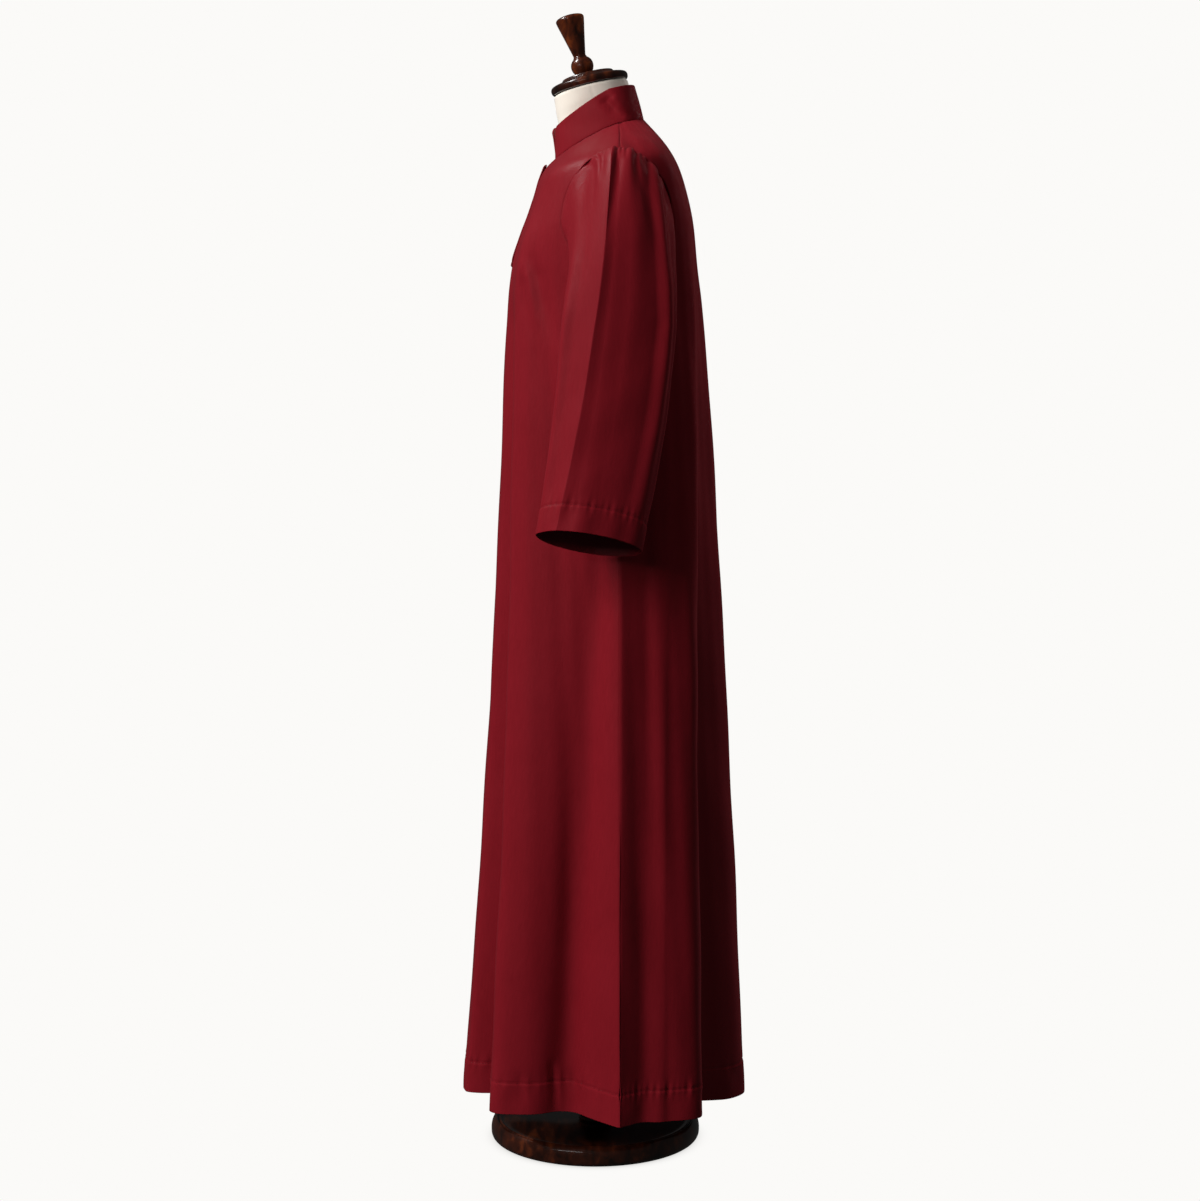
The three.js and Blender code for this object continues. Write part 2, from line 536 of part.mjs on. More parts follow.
function flyPoint(x, centreHeight, lift) {
  const height = heightOfFrontRing(centreHeight);
  const ring = rowAt(BODY_RINGS, 'height', height);
  const angle = Math.asin(Math.abs(x / ring.half) ** (ring.square / 2)) * 180 / Math.PI;
  const point = ringPoint(ring, angle);
  point.x = x;
  const ahead = rowAt(BODY_RINGS, 'height', height + 4);
  const slope = new THREE.Vector3(0, ahead.front - ring.front, 4 + ahead.frontRise - ring.frontRise);
  const normal = new THREE.Vector3(x / ring.half * 0.4, -slope.z, slope.y).normalize();
  return point.addScaledVector(normal, lift);
}

// The side height of the body ring whose centre front lies at the height given.
function heightOfFrontRing(centreHeight) {
  let height = centreHeight;
  for (let step = 0; step < 20; step += 1) {
    height = Math.min(NECK_HEIGHT, centreHeight - rowAt(BODY_RINGS, 'height', height).frontRise);
  }
  return height;
}

function fly() {
  const grid = (extra) => {
    const rows = [];
    for (let r = 0; r <= FLY_ROWS; r += 1) {
      const height = mix(FLY.bottom, FLY.top, r / FLY_ROWS);
      const curl = FLY.curl * clamp01((height - FLY.top + FLY.curlReach) / FLY.curlReach) ** 2;
      const row = [];
      for (let c = 0; c <= FLY_COLUMNS; c += 1) {
        row.push(flyPoint(mix(FLY.from, FLY.to, c / FLY_COLUMNS), height, SEAM_GAP + 0.4 + curl + extra));
      }
      rows.push(row);
    }
    return rows;
  };
  return wall(grid(FLY_WALL), grid(0), false);
}

// ------------------------------------------------------------------ form and stand

const FORM_COLUMNS = 32;

// A solid through rings of points, closed flat at both ends.
function loft(rings) {
  const count = rings[0].length;
  const middle = (ring) => ring.reduce((sum, p) => sum.add(p), new THREE.Vector3()).divideScalar(count);
  const points = [...rings.flat(), middle(rings[0]), middle(rings[rings.length - 1])];
  const faces = [];
  const at = (r, c) => r * count + (c % count);
  for (let r = 0; r < rings.length - 1; r += 1) {
    for (let c = 0; c < count; c += 1) {
      faces.push(at(r, c), at(r, c + 1), at(r + 1, c + 1), at(r, c), at(r + 1, c + 1), at(r + 1, c));
    }
  }
  for (let c = 0; c < count; c += 1) {
    faces.push(at(0, c + 1), at(0, c), points.length - 2);
    faces.push(at(rings.length - 1, c), at(rings.length - 1, c + 1), points.length - 1);
  }
  return closedGeometry(points, faces);
}

// The torso: its own rings up to the shoulders, then the garment's rings less the cloth and
// the gap, then the neck.
function torso() {
  const angles = Array.from({ length: FORM_COLUMNS }, (_, k) => 360 * k / FORM_COLUMNS);
  const clear = CLOTH + FORM_GAP;
  const under = (height) => {
    const surface = (angle, z) => ringPoint(rowAt(BODY_RINGS, 'height', z), angle);
    return angles.map((angle) => {
      const normal = outwardAt(surface, angle, height, 1.5, 1.5);
      return surface(angle, height).addScaledVector(normal, -clear);
    });
  };
  const own = (table, height) => angles.map((angle) => ringPoint(rowAt(table, 'height', height), angle));
  const heights = [800, 860, 930, 1010, 1080, 1140, 1190, 1245, 1280, 1315, 1355];
  const rings = heights.map((height) => own(FORM_RINGS, height));
  for (const height of SHOULDER_HEIGHTS.slice(0, -1)) rings.push(under(height));
  for (const height of [1429, 1441, 1462, 1475, 1488]) rings.push(own(FORM_NECK, height));
  return loft(rings);
}

// A turned piece: its profile, from the axis outward and back, spun about +Z.
function turned(profile, segments) {
  const geometry = new THREE.LatheGeometry(profile.map(([r, z]) => new THREE.Vector2(r, z)), segments);
  geometry.rotateX(Math.PI / 2);
  return geometry;
}

// Points of a rounded edge between two directions, for a turned profile.
function rounded(centreR, centreZ, radius, from, to, steps) {
  return Array.from({ length: steps + 1 }, (_, k) => {
    const angle = radians(mix(from, to, k / steps));
    return [centreR + radius * Math.cos(angle), centreZ + radius * Math.sin(angle)];
  });
}

function standProfile() {
  const { radius, thick } = STAND;
  return [
    [0, 0], [radius - 5, 0],
    ...rounded(radius - 13, 14, 13, -60, 75, 5),
    [radius - 12, thick], [radius - 15, thick - 2], [radius - 24, thick - 4], [POLE.foot + 8, thick - 6],
    [POLE.foot + 1, thick - 6], [0, thick - 6],
  ];
}

function poleProfile() {
  const low = STAND.thick - 6 + SEAM_GAP;
  const high = FORM_RINGS[0].height - SEAM_GAP;
  return [
    [0, low], [POLE.foot, low], [POLE.foot, low + 8], [POLE.radius + 2, low + 16], [POLE.radius, low + 22],
    [POLE.radius, high - 16], [POLE.foot, high - 10], [POLE.foot, high], [0, high],
  ];
}

function capProfile() {
  const { radius, rim, step } = CAP;
  return [
    [0, 0], [radius - 3, 0],
    ...rounded(radius - rim / 2, rim / 2, rim / 2, -60, 90, 4),
    [41, rim + 2], [37, rim + 4], [35.5, step - 1], [32, step], [0, step],
  ];
}

function finialProfile() {
  const { bead } = FINIAL;
  const flare = [[25, 8.6], [27.5, 8.8], [37, 10.6], [49, 13.3], [61, 16.1], [70, 18.3], [76.5, 19.7], [79.5, 19.1]];
  const crown = [[82.5, 15.5], [84.5, 8], [85, 0]];
  return [
    [0, 0], [9.5, 0],
    ...rounded(bead - 11, 13, 11, -62, 62, 6),
    ...[...flare, ...crown].map(([up, radius]) => [radius, up]),
  ];
}

// ------------------------------------------------------------------ the whole

const cassock = new THREE.Group();

const garment = new THREE.Group();
garment.add(
  piece('front_left', frontPanel(1), cloth),
  piece('front_right', frontPanel(-1), cloth),
  piece('back', backPanel(), cloth),
  piece('sleeve_left', sleeve(1), cloth),
  piece('sleeve_right', sleeve(-1), cloth),
  piece('collar', collar(), cloth),
  piece('front_fly', fly(), cloth),
);

const dressForm = new THREE.Group();
dressForm.add(
  piece('form_torso', torso(), jersey),
  piece('stand_base', turned(standProfile(), 40), wood),
  piece('stand_pole', turned(poleProfile(), 16), wood),
);

// A piece stood on the neck, leaning to the front by tilt.
function leaning(mesh, { y, height, tilt }) {
  mesh.position.set(0, y, height);
  mesh.rotation.x = radians(tilt);
  return mesh;
}

dressForm.add(
  leaning(piece('neck_cap', turned(capProfile(), 32), wood), CAP),
  leaning(piece('finial', turned(finialProfile(), 20), wood), FINIAL),
);

cassock.add(garment, dressForm);

export default cassock;
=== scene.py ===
# %% [markdown]
# # A choir cassock on a dress form
#
# The object is a long red cassock that hangs on a limbless dress form with a turned wooden
# stand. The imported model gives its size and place, and this notebook dresses it: finer cloth
# with its seams, hems, gathers and stitching, and the finishes of cloth, jersey and wood.

# %% Load the frame
import math

import bmesh
import bpy
import numpy as np
from mathutils import Matrix, Vector


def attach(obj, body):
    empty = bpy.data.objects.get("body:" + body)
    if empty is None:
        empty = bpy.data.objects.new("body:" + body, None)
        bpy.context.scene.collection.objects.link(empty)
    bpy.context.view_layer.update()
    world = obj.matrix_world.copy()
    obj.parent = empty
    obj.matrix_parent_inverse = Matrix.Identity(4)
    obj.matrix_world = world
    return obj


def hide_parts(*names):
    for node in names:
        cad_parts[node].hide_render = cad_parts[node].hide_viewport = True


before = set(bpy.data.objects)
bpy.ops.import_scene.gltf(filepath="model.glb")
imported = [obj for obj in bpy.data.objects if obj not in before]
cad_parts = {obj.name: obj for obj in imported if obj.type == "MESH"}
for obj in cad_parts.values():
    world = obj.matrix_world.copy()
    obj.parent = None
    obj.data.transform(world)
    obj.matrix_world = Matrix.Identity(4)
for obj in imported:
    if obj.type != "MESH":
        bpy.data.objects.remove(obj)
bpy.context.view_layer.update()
print("frame nodes:", ", ".join(sorted(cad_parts)))

# %% [markdown]
# ## Light, floor and camera
#
# A studio picture of a garment uses one large soft light high on one side and very little
# fill, so that every fold turns from light to dark. A weaker one lights the back. The broad
# lights leave no mirror highlight; a small high light and a low strip do. The camera stands
# level with the chest on the wearer's left and looks a little down, with a long lens so that
# nothing bends.

# %% Camera
FRAME_SIDE = 1201                      # the longer side of the picture, in pixels
FOCAL_PIXELS = 2280.58                 # the lens, in the same pixels
CAMERA_PLACE = (3.21705, 0.00681, 1.06924)
LOOK_DOWN = 5.238                      # degrees below the horizon


def make_camera():
    data = bpy.data.cameras.new("camera")
    data.sensor_width = 36
    data.lens = FOCAL_PIXELS / FRAME_SIDE * data.sensor_width
    data.clip_end = 200
    camera = bpy.data.objects.new("camera", data)
    camera.location = CAMERA_PLACE
    camera.rotation_euler = (math.radians(90 - LOOK_DOWN), 0, math.radians(90))
    bpy.context.scene.collection.objects.link(camera)
    bpy.context.scene.camera = camera
    print(f"camera lens {data.lens:.2f} mm")


make_camera()


# %% Colours
def to_linear(code):
    """An sRGB hex colour as the linear colour that shaders take."""
    parts = [int(code[i:i + 2], 16) / 255 for i in (1, 3, 5)]
    return tuple(c / 12.92 if c <= 0.04045 else ((c + 0.055) / 1.055) ** 2.4 for c in parts) + (1.0,)


# %% [markdown]
# A shader tree is easier to read when each node is one line. The first function adds a node,
# sets its properties and its inputs, and links what is given as another node's output. The
# others add the kinds that are used most, and give back the output that the next node takes.

# %% Functions that add nodes
def add_node(tree, kind, inputs=None, **settings):
    node = tree.nodes.new(kind)
    for name, value in settings.items():
        setattr(node, name, value)
    for name, value in (inputs or {}).items():
        if isinstance(value, bpy.types.NodeSocket):
            tree.links.new(value, node.inputs[name])
        else:
            node.inputs[name].default_value = value
    return node


def map_range(tree, value, low, high, to_low, to_high):
    inputs = {"Value": value, "From Min": low, "From Max": high, "To Min": to_low, "To Max": to_high}
    return add_node(tree, "ShaderNodeMapRange", inputs).outputs[0]


def noise(tree, vector, scale, detail, **others):
    inputs = {"Vector": vector, "Scale": scale, "Detail": detail, **others}
    return add_node(tree, "ShaderNodeTexNoise", inputs).outputs["Fac"]


def bands(tree, vector, pitch_mm, way, distortion, detail, detail_scale):
    """Waves that are pitch_mm apart: Blender's own have 20 radians in a metre at a scale of 1."""
    inputs = {"Vector": vector, "Scale": math.tau * 1000 / pitch_mm / 20, "Distortion": distortion,
              "Detail": detail, "Detail Scale": detail_scale}
    return add_node(tree, "ShaderNodeTexWave", inputs, bands_direction=way).outputs["Fac"]


def blend(tree, share, first, second):
    inputs = {"Fac": share, "Color1": first, "Color2": second}
    return add_node(tree, "ShaderNodeMixRGB", inputs).outputs[0]


def product(tree, first, second):
    return add_node(tree, "ShaderNodeMath", {0: first, 1: second}, operation="MULTIPLY").outputs[0]


def bump(tree, height, strength, distance, **others):
    inputs = {"Height": height, "Strength": strength, "Distance": distance, **others}
    return add_node(tree, "ShaderNodeBump", inputs).outputs[0]


# %% A mesh from a finished bmesh
def mesh_from(bm, name):
    mesh = bpy.data.meshes.new(name)
    bm.to_mesh(mesh)
    bm.free()
    return mesh


# %% Studio light
BACKDROP = "#fbfaf8"
STUDIO = {                             # each light's place, what it faces, its size and power
    "key": {"at": (4.05, -4.95, 4.8), "to": (0, 0, 0.6), "size": (3.9, 3.9), "power": 610},
    "front top": {"at": (0.1, -2.0, 3.6), "to": (0, 0, 1.35), "size": (0.7, 0.7), "power": 44},
    "rim": {"at": (0.9, 2.4, 3.2), "to": (0, 0, 1.1), "size": (0.8, 1.2), "power": 10},
    "back": {"at": (-3.4, 2.6, 3.0), "to": (0, 0, 0.7), "size": (2.0, 2.0), "power": 110},
    "front strip": {"at": (3.0, -1.7, 1.9), "to": (0, 0, 0.2), "size": (1.8, 0.14), "power": 4},
}
NO_MIRROR = ("key", "rim", "back")     # neither the cloth nor the wood mirrors these
ROOM_LIGHT = 0.03                      # what the pale room gives from all sides


def make_lights():
    for name, light in STUDIO.items():
        data = bpy.data.lights.new(name, "AREA")
        data.shape = "RECTANGLE"
        data.size, data.size_y = light["size"]
        data.energy = light["power"]
        lamp = bpy.data.objects.new(name, data)
        lamp.location = light["at"]
        aim = Vector(light["to"]) - Vector(light["at"])
        lamp.rotation_euler = aim.to_track_quat("-Z", "Y").to_euler()
        lamp.visible_glossy = name not in NO_MIRROR
        bpy.context.scene.collection.objects.link(lamp)
    print(len(STUDIO), "lights")


def make_room():
    world = bpy.data.worlds.new("studio")
    world.use_nodes = True
    tree = world.node_tree
    tree.nodes.clear()
    seen = add_node(tree, "ShaderNodeBackground", {"Color": to_linear(BACKDROP), "Strength": 1.0})
    felt = add_node(tree, "ShaderNodeBackground", {"Color": to_linear(BACKDROP), "Strength": ROOM_LIGHT})
    path = add_node(tree, "ShaderNodeLightPath")
    both = add_node(tree, "ShaderNodeMixShader", {"Fac": path.outputs["Is Camera Ray"]})
    tree.links.new(felt.outputs[0], both.inputs[1])
    tree.links.new(seen.outputs[0], both.inputs[2])
    add_node(tree, "ShaderNodeOutputWorld", {"Surface": both.outputs[0]})
    bpy.context.scene.world = world
    bpy.context.scene.view_settings.view_transform = "Standard"


def make_floor():
    bm = bmesh.new()
    bmesh.ops.create_circle(bm, cap_ends=True, segments=64, radius=60)
    mesh = mesh_from(bm, "floor")
    floor = bpy.data.objects.new("floor", mesh)
    bpy.context.scene.collection.objects.link(floor)
    paper = bpy.data.materials.new("white studio paper")
    paper.use_nodes = True
    tree = paper.node_tree
    tree.nodes.clear()
    # The floor glows evenly, and ambient occlusion paints a soft contact shadow on it near the stand.
    corner = add_node(tree, "ShaderNodeAmbientOcclusion", {"Distance": 0.08}, samples=16)
    shade = map_range(tree, corner.outputs["AO"], 0.3, 0.8, 0.8, 1.0)
    glow = add_node(tree, "ShaderNodeEmission", {"Color": to_linear(BACKDROP), "Strength": shade})
    add_node(tree, "ShaderNodeOutputMaterial", {"Surface": glow.outputs[0]})
    mesh.materials.append(paper)
    floor.visible_diffuse = floor.visible_glossy = floor.visible_shadow = False


make_lights()
make_room()
make_floor()

# %% [markdown]
# ## The cutter's tables
#
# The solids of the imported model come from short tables: rings round the body, fold lines that
# run across them, rings down the sleeve. Nearly the same tables are used here at a finer step.
# The cloth lies close to the solids, apart from the front of the hem, the sleeves' folds and
# the softened shoulder. All table lengths are millimetres.


# %% Tables and the curves through them
def table(columns, rows):
    return {name: np.array([row[i] for row in rows], float) for i, name in enumerate(columns.split())}


def row_at(rows, key, value):
    """Every column of the table at the values given, smooth between the rows."""
    value = np.asarray(value, float)
    keys = rows[key]
    last = len(keys) - 1
    i = np.clip(np.searchsorted(keys, value, side="left") - 1, 0, last - 1)
    span = keys[i + 1] - keys[i]
    t = np.clip((value - keys[i]) / span, 0, 1)
    found = {key: value}
    for name, column in rows.items():
        if name == key:
            continue
        steps = np.diff(column) / np.diff(keys)
        slopes = np.zeros(last + 1)
        slopes[0], slopes[-1] = steps[0], steps[-1]
        for k in range(1, last):
            before, after = steps[k - 1], steps[k]
            slopes[k] = 0 if before * after <= 0 else 2 * before * after / (before + after)
        a, b = column[i], column[i + 1]
        found[name] = (a * (1 + 2 * t) * (1 - t) ** 2 + b * t * t * (3 - 2 * t)
                       + span * (slopes[i] * t * (1 - t) ** 2 + slopes[i + 1] * t * t * (t - 1)))
    return found


def mix(a, b, t):
    return a + (b - a) * t


def ease(t, crisp_start, crisp_end):
    """From 0 to 1: flat at a soft fold line, and straight at a crisp one."""
    return (t * t * (3 - 2 * t) + 1.6 * crisp_start * t * (1 - t) ** 2
            + 1.6 * crisp_end * t * t * (t - 1))


# %% The body's rings and fold lines
SIDE_SEAM_Y = 33
ARMPIT, SHOULDER_TIP, NECK_HEIGHT, HEM_HEIGHT, FOLDS_START = 1190, 1386, 1434, 90, 1245

BODY_RINGS = table("height half front back front_rise back_rise square sweep", [
    (90, 247, -188, 215, -9, -26, 2.0, 6.0),
    (285, 239, -173, 205, -4, -8, 2.1, 5.0),
    (460, 231, -160, 196, 0, 0, 2.1, 3.0),
    (760, 216, -142, 180, 0, 0, 2.2, 3.0),
    (1015, 206, -130, 164, 0, 0, 2.4, 2.0),
    (1190, 203, -121, 149, 0, 0, 2.6, 1.3),
    (1245, 203, -115, 142, -4, 0, 2.8, 1.3),
    (1310, 203, -100.5, 136, -22, -10, 3.0, 1.3),
    (1355, 203, -86.5, 125.5, -30, -10, 3.0, 1.3),
    (1386, 203, -78.5, 113.5, -34, -6, 3.0, 1.3),
    (1391, 191, -77, 109.5, -34, -3, 2.9, 1.3),
    (1402, 160, -72.5, 101, -34, 3, 2.7, 1.3),
    (1418, 112, -65, 84, -38, 7, 2.4, 1.25),
    (1434, 63, -56, 68, -44, 10, 2.0, 1.2),
])

# Each fold line's angle at the hem and at the breast, how late it drifts from one to the
# other, its depth at both, whether it is pressed, and its depth on the other side.
FOLD_LINES = table("hem top drift depth top_depth crisp other", [
    (0, 0, 1, 0, 0, 0, 1),             # centre front
    (15, 12, 1, 2, 0, 0, 1),
    (25, 19, 1, -50, -1, 0, 0.8),
    (43, 34, 1.5, 15, 4, 0, 1.1),
    (68, 47, 5, -46, -4, 0, 0.85),
    (90, 90, 1, 3, 0, 1, 1),           # side seam
    (101, 104, 1, -17, -1, 0, 1.2),
    (111, 122, 2, -8, 1, 0, 0.9),
    (125, 144, 3, 3, 3, 0, 1.3),
    (148, 158, 2, -60, -3, 0, 0.8),
    (180, 180, 1, 0, 0, 0, 1),         # centre back
])
SIDE_SEAM_LINE, CENTRE_BACK_LINE = 5, 10


# %% [markdown]
# A point of the body cloth is found in three steps: the plain ring at its height, the angle
# round the ring, and how far the folds push it in or out. Everything works on whole arrays of
# points at once, because numpy is then fast enough for a hundred thousand of them.

# %% Points of the body cloth
def ring_point(ring, angle, mid=SIDE_SEAM_Y):
    sine, cosine = np.sin(np.radians(angle)), np.cos(np.radians(angle))
    across = np.sign(sine) * np.abs(sine) ** (2 / ring["square"])
    along = np.abs(cosine) ** (2 / ring["square"])
    front = cosine > 0
    y = mid + (np.where(front, ring["front"], ring["back"]) - mid) * along
    rise = np.where(front, ring["front_rise"], ring["back_rise"]) * along ** ring["sweep"]
    return np.stack([ring["half"] * across, y, ring["height"] + rise], -1)


def fold_lines_at(height, side):
    """Angle and depth of every fold line at each height, with the lines as the last axis."""
    up = np.clip((height - HEM_HEIGHT) / (FOLDS_START - HEM_HEIGHT), 0, 1)[..., None]
    fade = 1 - np.clip((height - FOLDS_START) / (SHOULDER_TIP - FOLDS_START), 0, 1)[..., None]
    angle = mix(FOLD_LINES["hem"], FOLD_LINES["top"], up ** FOLD_LINES["drift"])
    depth = mix(FOLD_LINES["depth"], FOLD_LINES["top_depth"], up) * fade
    return angle, depth * (FOLD_LINES["other"] if side < 0 else 1)


def pick(lines, i):
    return np.take_along_axis(lines, i[..., None], -1)[..., 0]


def body_angle(place, height, reach, to_front, side):
    angles, _ = fold_lines_at(height, side)
    i = np.clip(np.floor(place), 0, CENTRE_BACK_LINE - 1).astype(int)
    plain = mix(pick(angles, i), pick(angles, i + 1), place - i)
    return plain * reach if to_front else 180 - (180 - plain) * reach


def fold_depth(angle, height, side):
    angles, depths = fold_lines_at(height, side)
    i = np.clip((angle[..., None] > angles).sum(-1) - 1, 0, CENTRE_BACK_LINE - 1)
    a, b = pick(angles, i), pick(angles, i + 1)
    t = np.clip((angle - a) / (b - a), 0, 1)
    crisp = FOLD_LINES["crisp"]
    return mix(pick(depths, i), pick(depths, i + 1), ease(t, crisp[i], crisp[i + 1]))


def body_point(place, height, reach, to_front, side):
    angle = body_angle(place, height, reach, to_front, side)
    ring = row_at(BODY_RINGS, "height", height)
    point = ring_point(ring, angle)
    along = ring_point(ring, angle + 0.5) - ring_point(ring, angle - 0.5)
    outward = np.stack([along[..., 1], -along[..., 0], 0 * angle], -1)
    outward /= np.linalg.norm(outward, axis=-1, keepdims=True)
    point = point + outward * fold_depth(angle, height, side)[..., None]
    return point * (side, 1, 1)


# %% The armhole
ARMHOLE = {"height": 1288, "tall": 98, "front": 78, "back": 71, "scoop": 0.35}


def armhole_point(angle):
    """The armhole's point at an angle, with the ring height and the reach of the body there."""
    angle = np.asarray(angle, float)
    sine, cosine = np.sin(np.radians(angle)), np.cos(np.radians(angle))
    to_front = cosine > 0
    out = np.where(to_front, ARMHOLE["front"] * (1 + ARMHOLE["scoop"] * np.minimum(0, sine)), ARMHOLE["back"])
    y = SIDE_SEAM_Y - out * cosine
    z = ARMHOLE["height"] + ARMHOLE["tall"] * sine
    height = z
    for _ in range(12):
        ring = row_at(BODY_RINGS, "height", height)
        along = (y - SIDE_SEAM_Y) / (np.where(to_front, ring["front"], ring["back"]) - SIDE_SEAM_Y)
        rise = np.where(to_front, ring["front_rise"], ring["back_rise"]) * np.abs(along) ** ring["sweep"]
        height = np.clip(z - rise, ARMPIT, SHOULDER_TIP)
    ring = row_at(BODY_RINGS, "height", height)
    across = (1 - np.abs(along) ** ring["square"]) ** (1 / ring["square"])
    edge = np.degrees(np.arcsin(np.minimum(1, across ** (ring["square"] / 2))))
    return np.stack([ring["half"] * across, y, z], -1), height, edge / 90


# %% [markdown]
# ## How a piece of cloth is made
#
# Each cut piece starts as Blender's own flat grid, with one row or column for each step, and
# its corners are then moved to where the surface function puts them. The grid's UV map keeps
# the flat cut in metres, so that the weave follows the cloth.

# %% From a grid of points to a piece
def outward_of(points, side=1):
    """The surface's outward direction at each point of a grid, rows up and columns leftward."""
    across = np.gradient(points, axis=1)
    up = np.gradient(points, axis=0)
    normal = np.cross(across, up) * side
    return normal / np.maximum(np.linalg.norm(normal, axis=-1, keepdims=True), 1e-9)


def lengths_along(points, axis):
    steps = np.linalg.norm(np.diff(points, axis=axis), axis=-1)
    pad = [(1, 0) if a == axis else (0, 0) for a in (0, 1)]
    return np.pad(np.cumsum(steps, axis=axis), pad)


def link_piece(name, mesh, material, body="root"):
    piece = bpy.data.objects.new(name, mesh)
    bpy.context.scene.collection.objects.link(piece)
    mesh.materials.append(material)
    mesh.polygons.foreach_set("use_smooth", [True] * len(mesh.polygons))
    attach(piece, body)
    return piece


SURFACES = {}                          # each cloth piece's grid of points, for the sewing


def sheet_from(name, points, material, thick, side=1, tube=False):
    """A cloth piece through a grid of points (rows, columns, 3) in millimetres."""
    rows, columns = points.shape[:2]
    SURFACES[name] = points, outward_of(points, side)
    metres = points / 1000
    cut = np.stack([lengths_along(metres, 1), lengths_along(metres, 0)], -1)
    bm = bmesh.new()
    bmesh.ops.create_grid(bm, x_segments=columns - 1, y_segments=rows - 1, size=1)
    bm.verts.ensure_lookup_table()
    place = [(round((v.co.y + 1) / 2 * (rows - 1)), round((v.co.x + 1) / 2 * (columns - 1)))
             for v in bm.verts]
    uv = bm.loops.layers.uv.new("cut")
    for face in bm.faces:
        for loop in face.loops:
            loop[uv].uv = cut[place[loop.vert.index]]
    for vert, at in zip(bm.verts, place):
        vert.co = metres[at]
    if side < 0:
        bmesh.ops.reverse_faces(bm, faces=bm.faces)
    if tube:
        bmesh.ops.remove_doubles(bm, verts=bm.verts, dist=1e-6)
    piece = link_piece(name, mesh_from(bm, name), material)
    wall = piece.modifiers.new("cloth thickness", "SOLIDIFY")
    wall.thickness = thick / 1000
    wall.offset = -1
    print(f"{name}: {rows} x {columns} points")
    return piece


def round_edge(piece, width):
    """A folded edge is round: this comes after the cloth has its thickness."""
    edge = piece.modifiers.new("folded edge", "BEVEL")
    edge.width = width
    edge.segments = 3
    edge.limit_method = "ANGLE"


# %% [markdown]
# ## Red polyester-cotton cloth
#
# Choir cassocks are made of a fine polyester-cotton weave. Its threads are 0.25 mm apart, so
# the eye doesn't see single threads, but it sees a soft sheen where the cloth turns to the
# light, and a faint unevenness of the threads. The weave below is drawn coarser than it is,
# so that it still shows in a picture of the whole garment.

# %% Cloth material
THREAD_MM = 0.8                        # drawn about three times as coarse as the real threads


def make_cloth():
    material = bpy.data.materials.new("red polyester-cotton weave")
    material.use_nodes = True
    tree = material.node_tree
    tree.nodes.clear()
    cut = add_node(tree, "ShaderNodeUVMap", uv_map="cut").outputs[0]
    place = add_node(tree, "ShaderNodeTexCoord").outputs["Object"]
    threads = [bands(tree, cut, THREAD_MM, way, 0.6, 1.0, 0.5) for way in ("X", "Y")]
    slub_room = add_node(tree, "ShaderNodeMapping", {"Vector": cut, "Scale": (400, 40, 1)}).outputs[0]
    slub = noise(tree, slub_room, 1.0, 3.0, Roughness=0.6)
    patch = noise(tree, place, 9.0, 5.0, Roughness=0.55)
    tone = blend(tree, patch, to_linear("#6e1119"), to_linear("#7a1620"))
    dust = map_range(tree, slub, 0.3, 0.7, 0.0, 0.22)
    colour = blend(tree, dust, tone, to_linear("#8d1d27"))
    fine = bump(tree, product(tree, *threads), 0.12, 0.0004)
    uneven = bump(tree, slub, 0.15, 0.0006, Normal=fine)
    soft = bump(tree, patch, 0.25, 0.006, Normal=uneven)
    shader = add_node(tree, "ShaderNodeBsdfPrincipled", {
        "Base Color": colour, "Roughness": 0.48, "IOR": 1.36, "Specular IOR Level": 0.42,
        "Sheen Weight": 0.05, "Sheen Roughness": 0.4, "Sheen Tint": to_linear("#e0606a"), "Normal": soft})
    add_node(tree, "ShaderNodeOutputMaterial", {"Surface": shader.outputs[0]})
    return material


cloth = make_cloth()

# %% [markdown]
# ## Small drape
#
# Large folds come from the fold lines. What makes cloth look alive is smaller: soft dents and
# ridges that start at a seam or a shoulder and fade out. Each is a short path in side view
# (Y and Z, in millimetres), with a width and a depth, and the cloth is pushed in or out along
# its own outward direction by a smooth bump around the path.


# %% Soft dents and ridges along a path
def from_path(points, path):
    """Distance of each point from a path in side view, and how far along the path it is."""
    flat = points[..., 1:]
    corners = np.array(path, float)
    steps = np.linalg.norm(np.diff(corners, axis=0), axis=1)
    before = np.concatenate([[0], np.cumsum(steps)])
    near = np.full(flat.shape[:-1], 1e9)
    along = np.zeros(flat.shape[:-1])
    for k, step in enumerate(steps):
        way = (corners[k + 1] - corners[k]) / step
        t = np.clip((flat - corners[k]) @ way, 0, step)
        gap = np.linalg.norm(flat - corners[k] - t[..., None] * way, axis=-1)
        closer = gap < near
        near = np.where(closer, gap, near)
        along = np.where(closer, (before[k] + t) / before[-1], along)
    return near, along


def dents(points, marks):
    """The sum of all the marks' bumps: each mark is (depth, width, start fade, path)."""
    total = np.zeros(points.shape[:-1])
    for depth, width, start, path in marks:
        gap, along = from_path(points, path)
        fade = np.minimum(1, (along + start) / 0.25) * np.clip((1 - along) / 0.5, 0, 1) ** 0.8
        total += depth * fade * np.exp(-(gap / width) ** 2)
    return total


def wander(s, seed, lengths):
    """A smooth curve that never repeats in view: sines of unrelated lengths, from -1 to 1."""
    phases = [math.sin(seed * 12.9898 + k * 78.233) * math.pi for k in range(len(lengths))]
    return sum(np.sin(math.tau * s / length + phase) for length, phase in zip(lengths, phases)) / len(lengths)


def near_line(distance, width):
    return np.exp(-(distance / width) ** 2)


# %% Seam, hem and stitch marks on the cloth
HEM_BAND, CUFF_BAND = 43, 35           # the turned-up hems, from edge to stitching
DITCH_DEPTH, DITCH_WIDTH = 0.9, 1.8    # the hollow at a seam
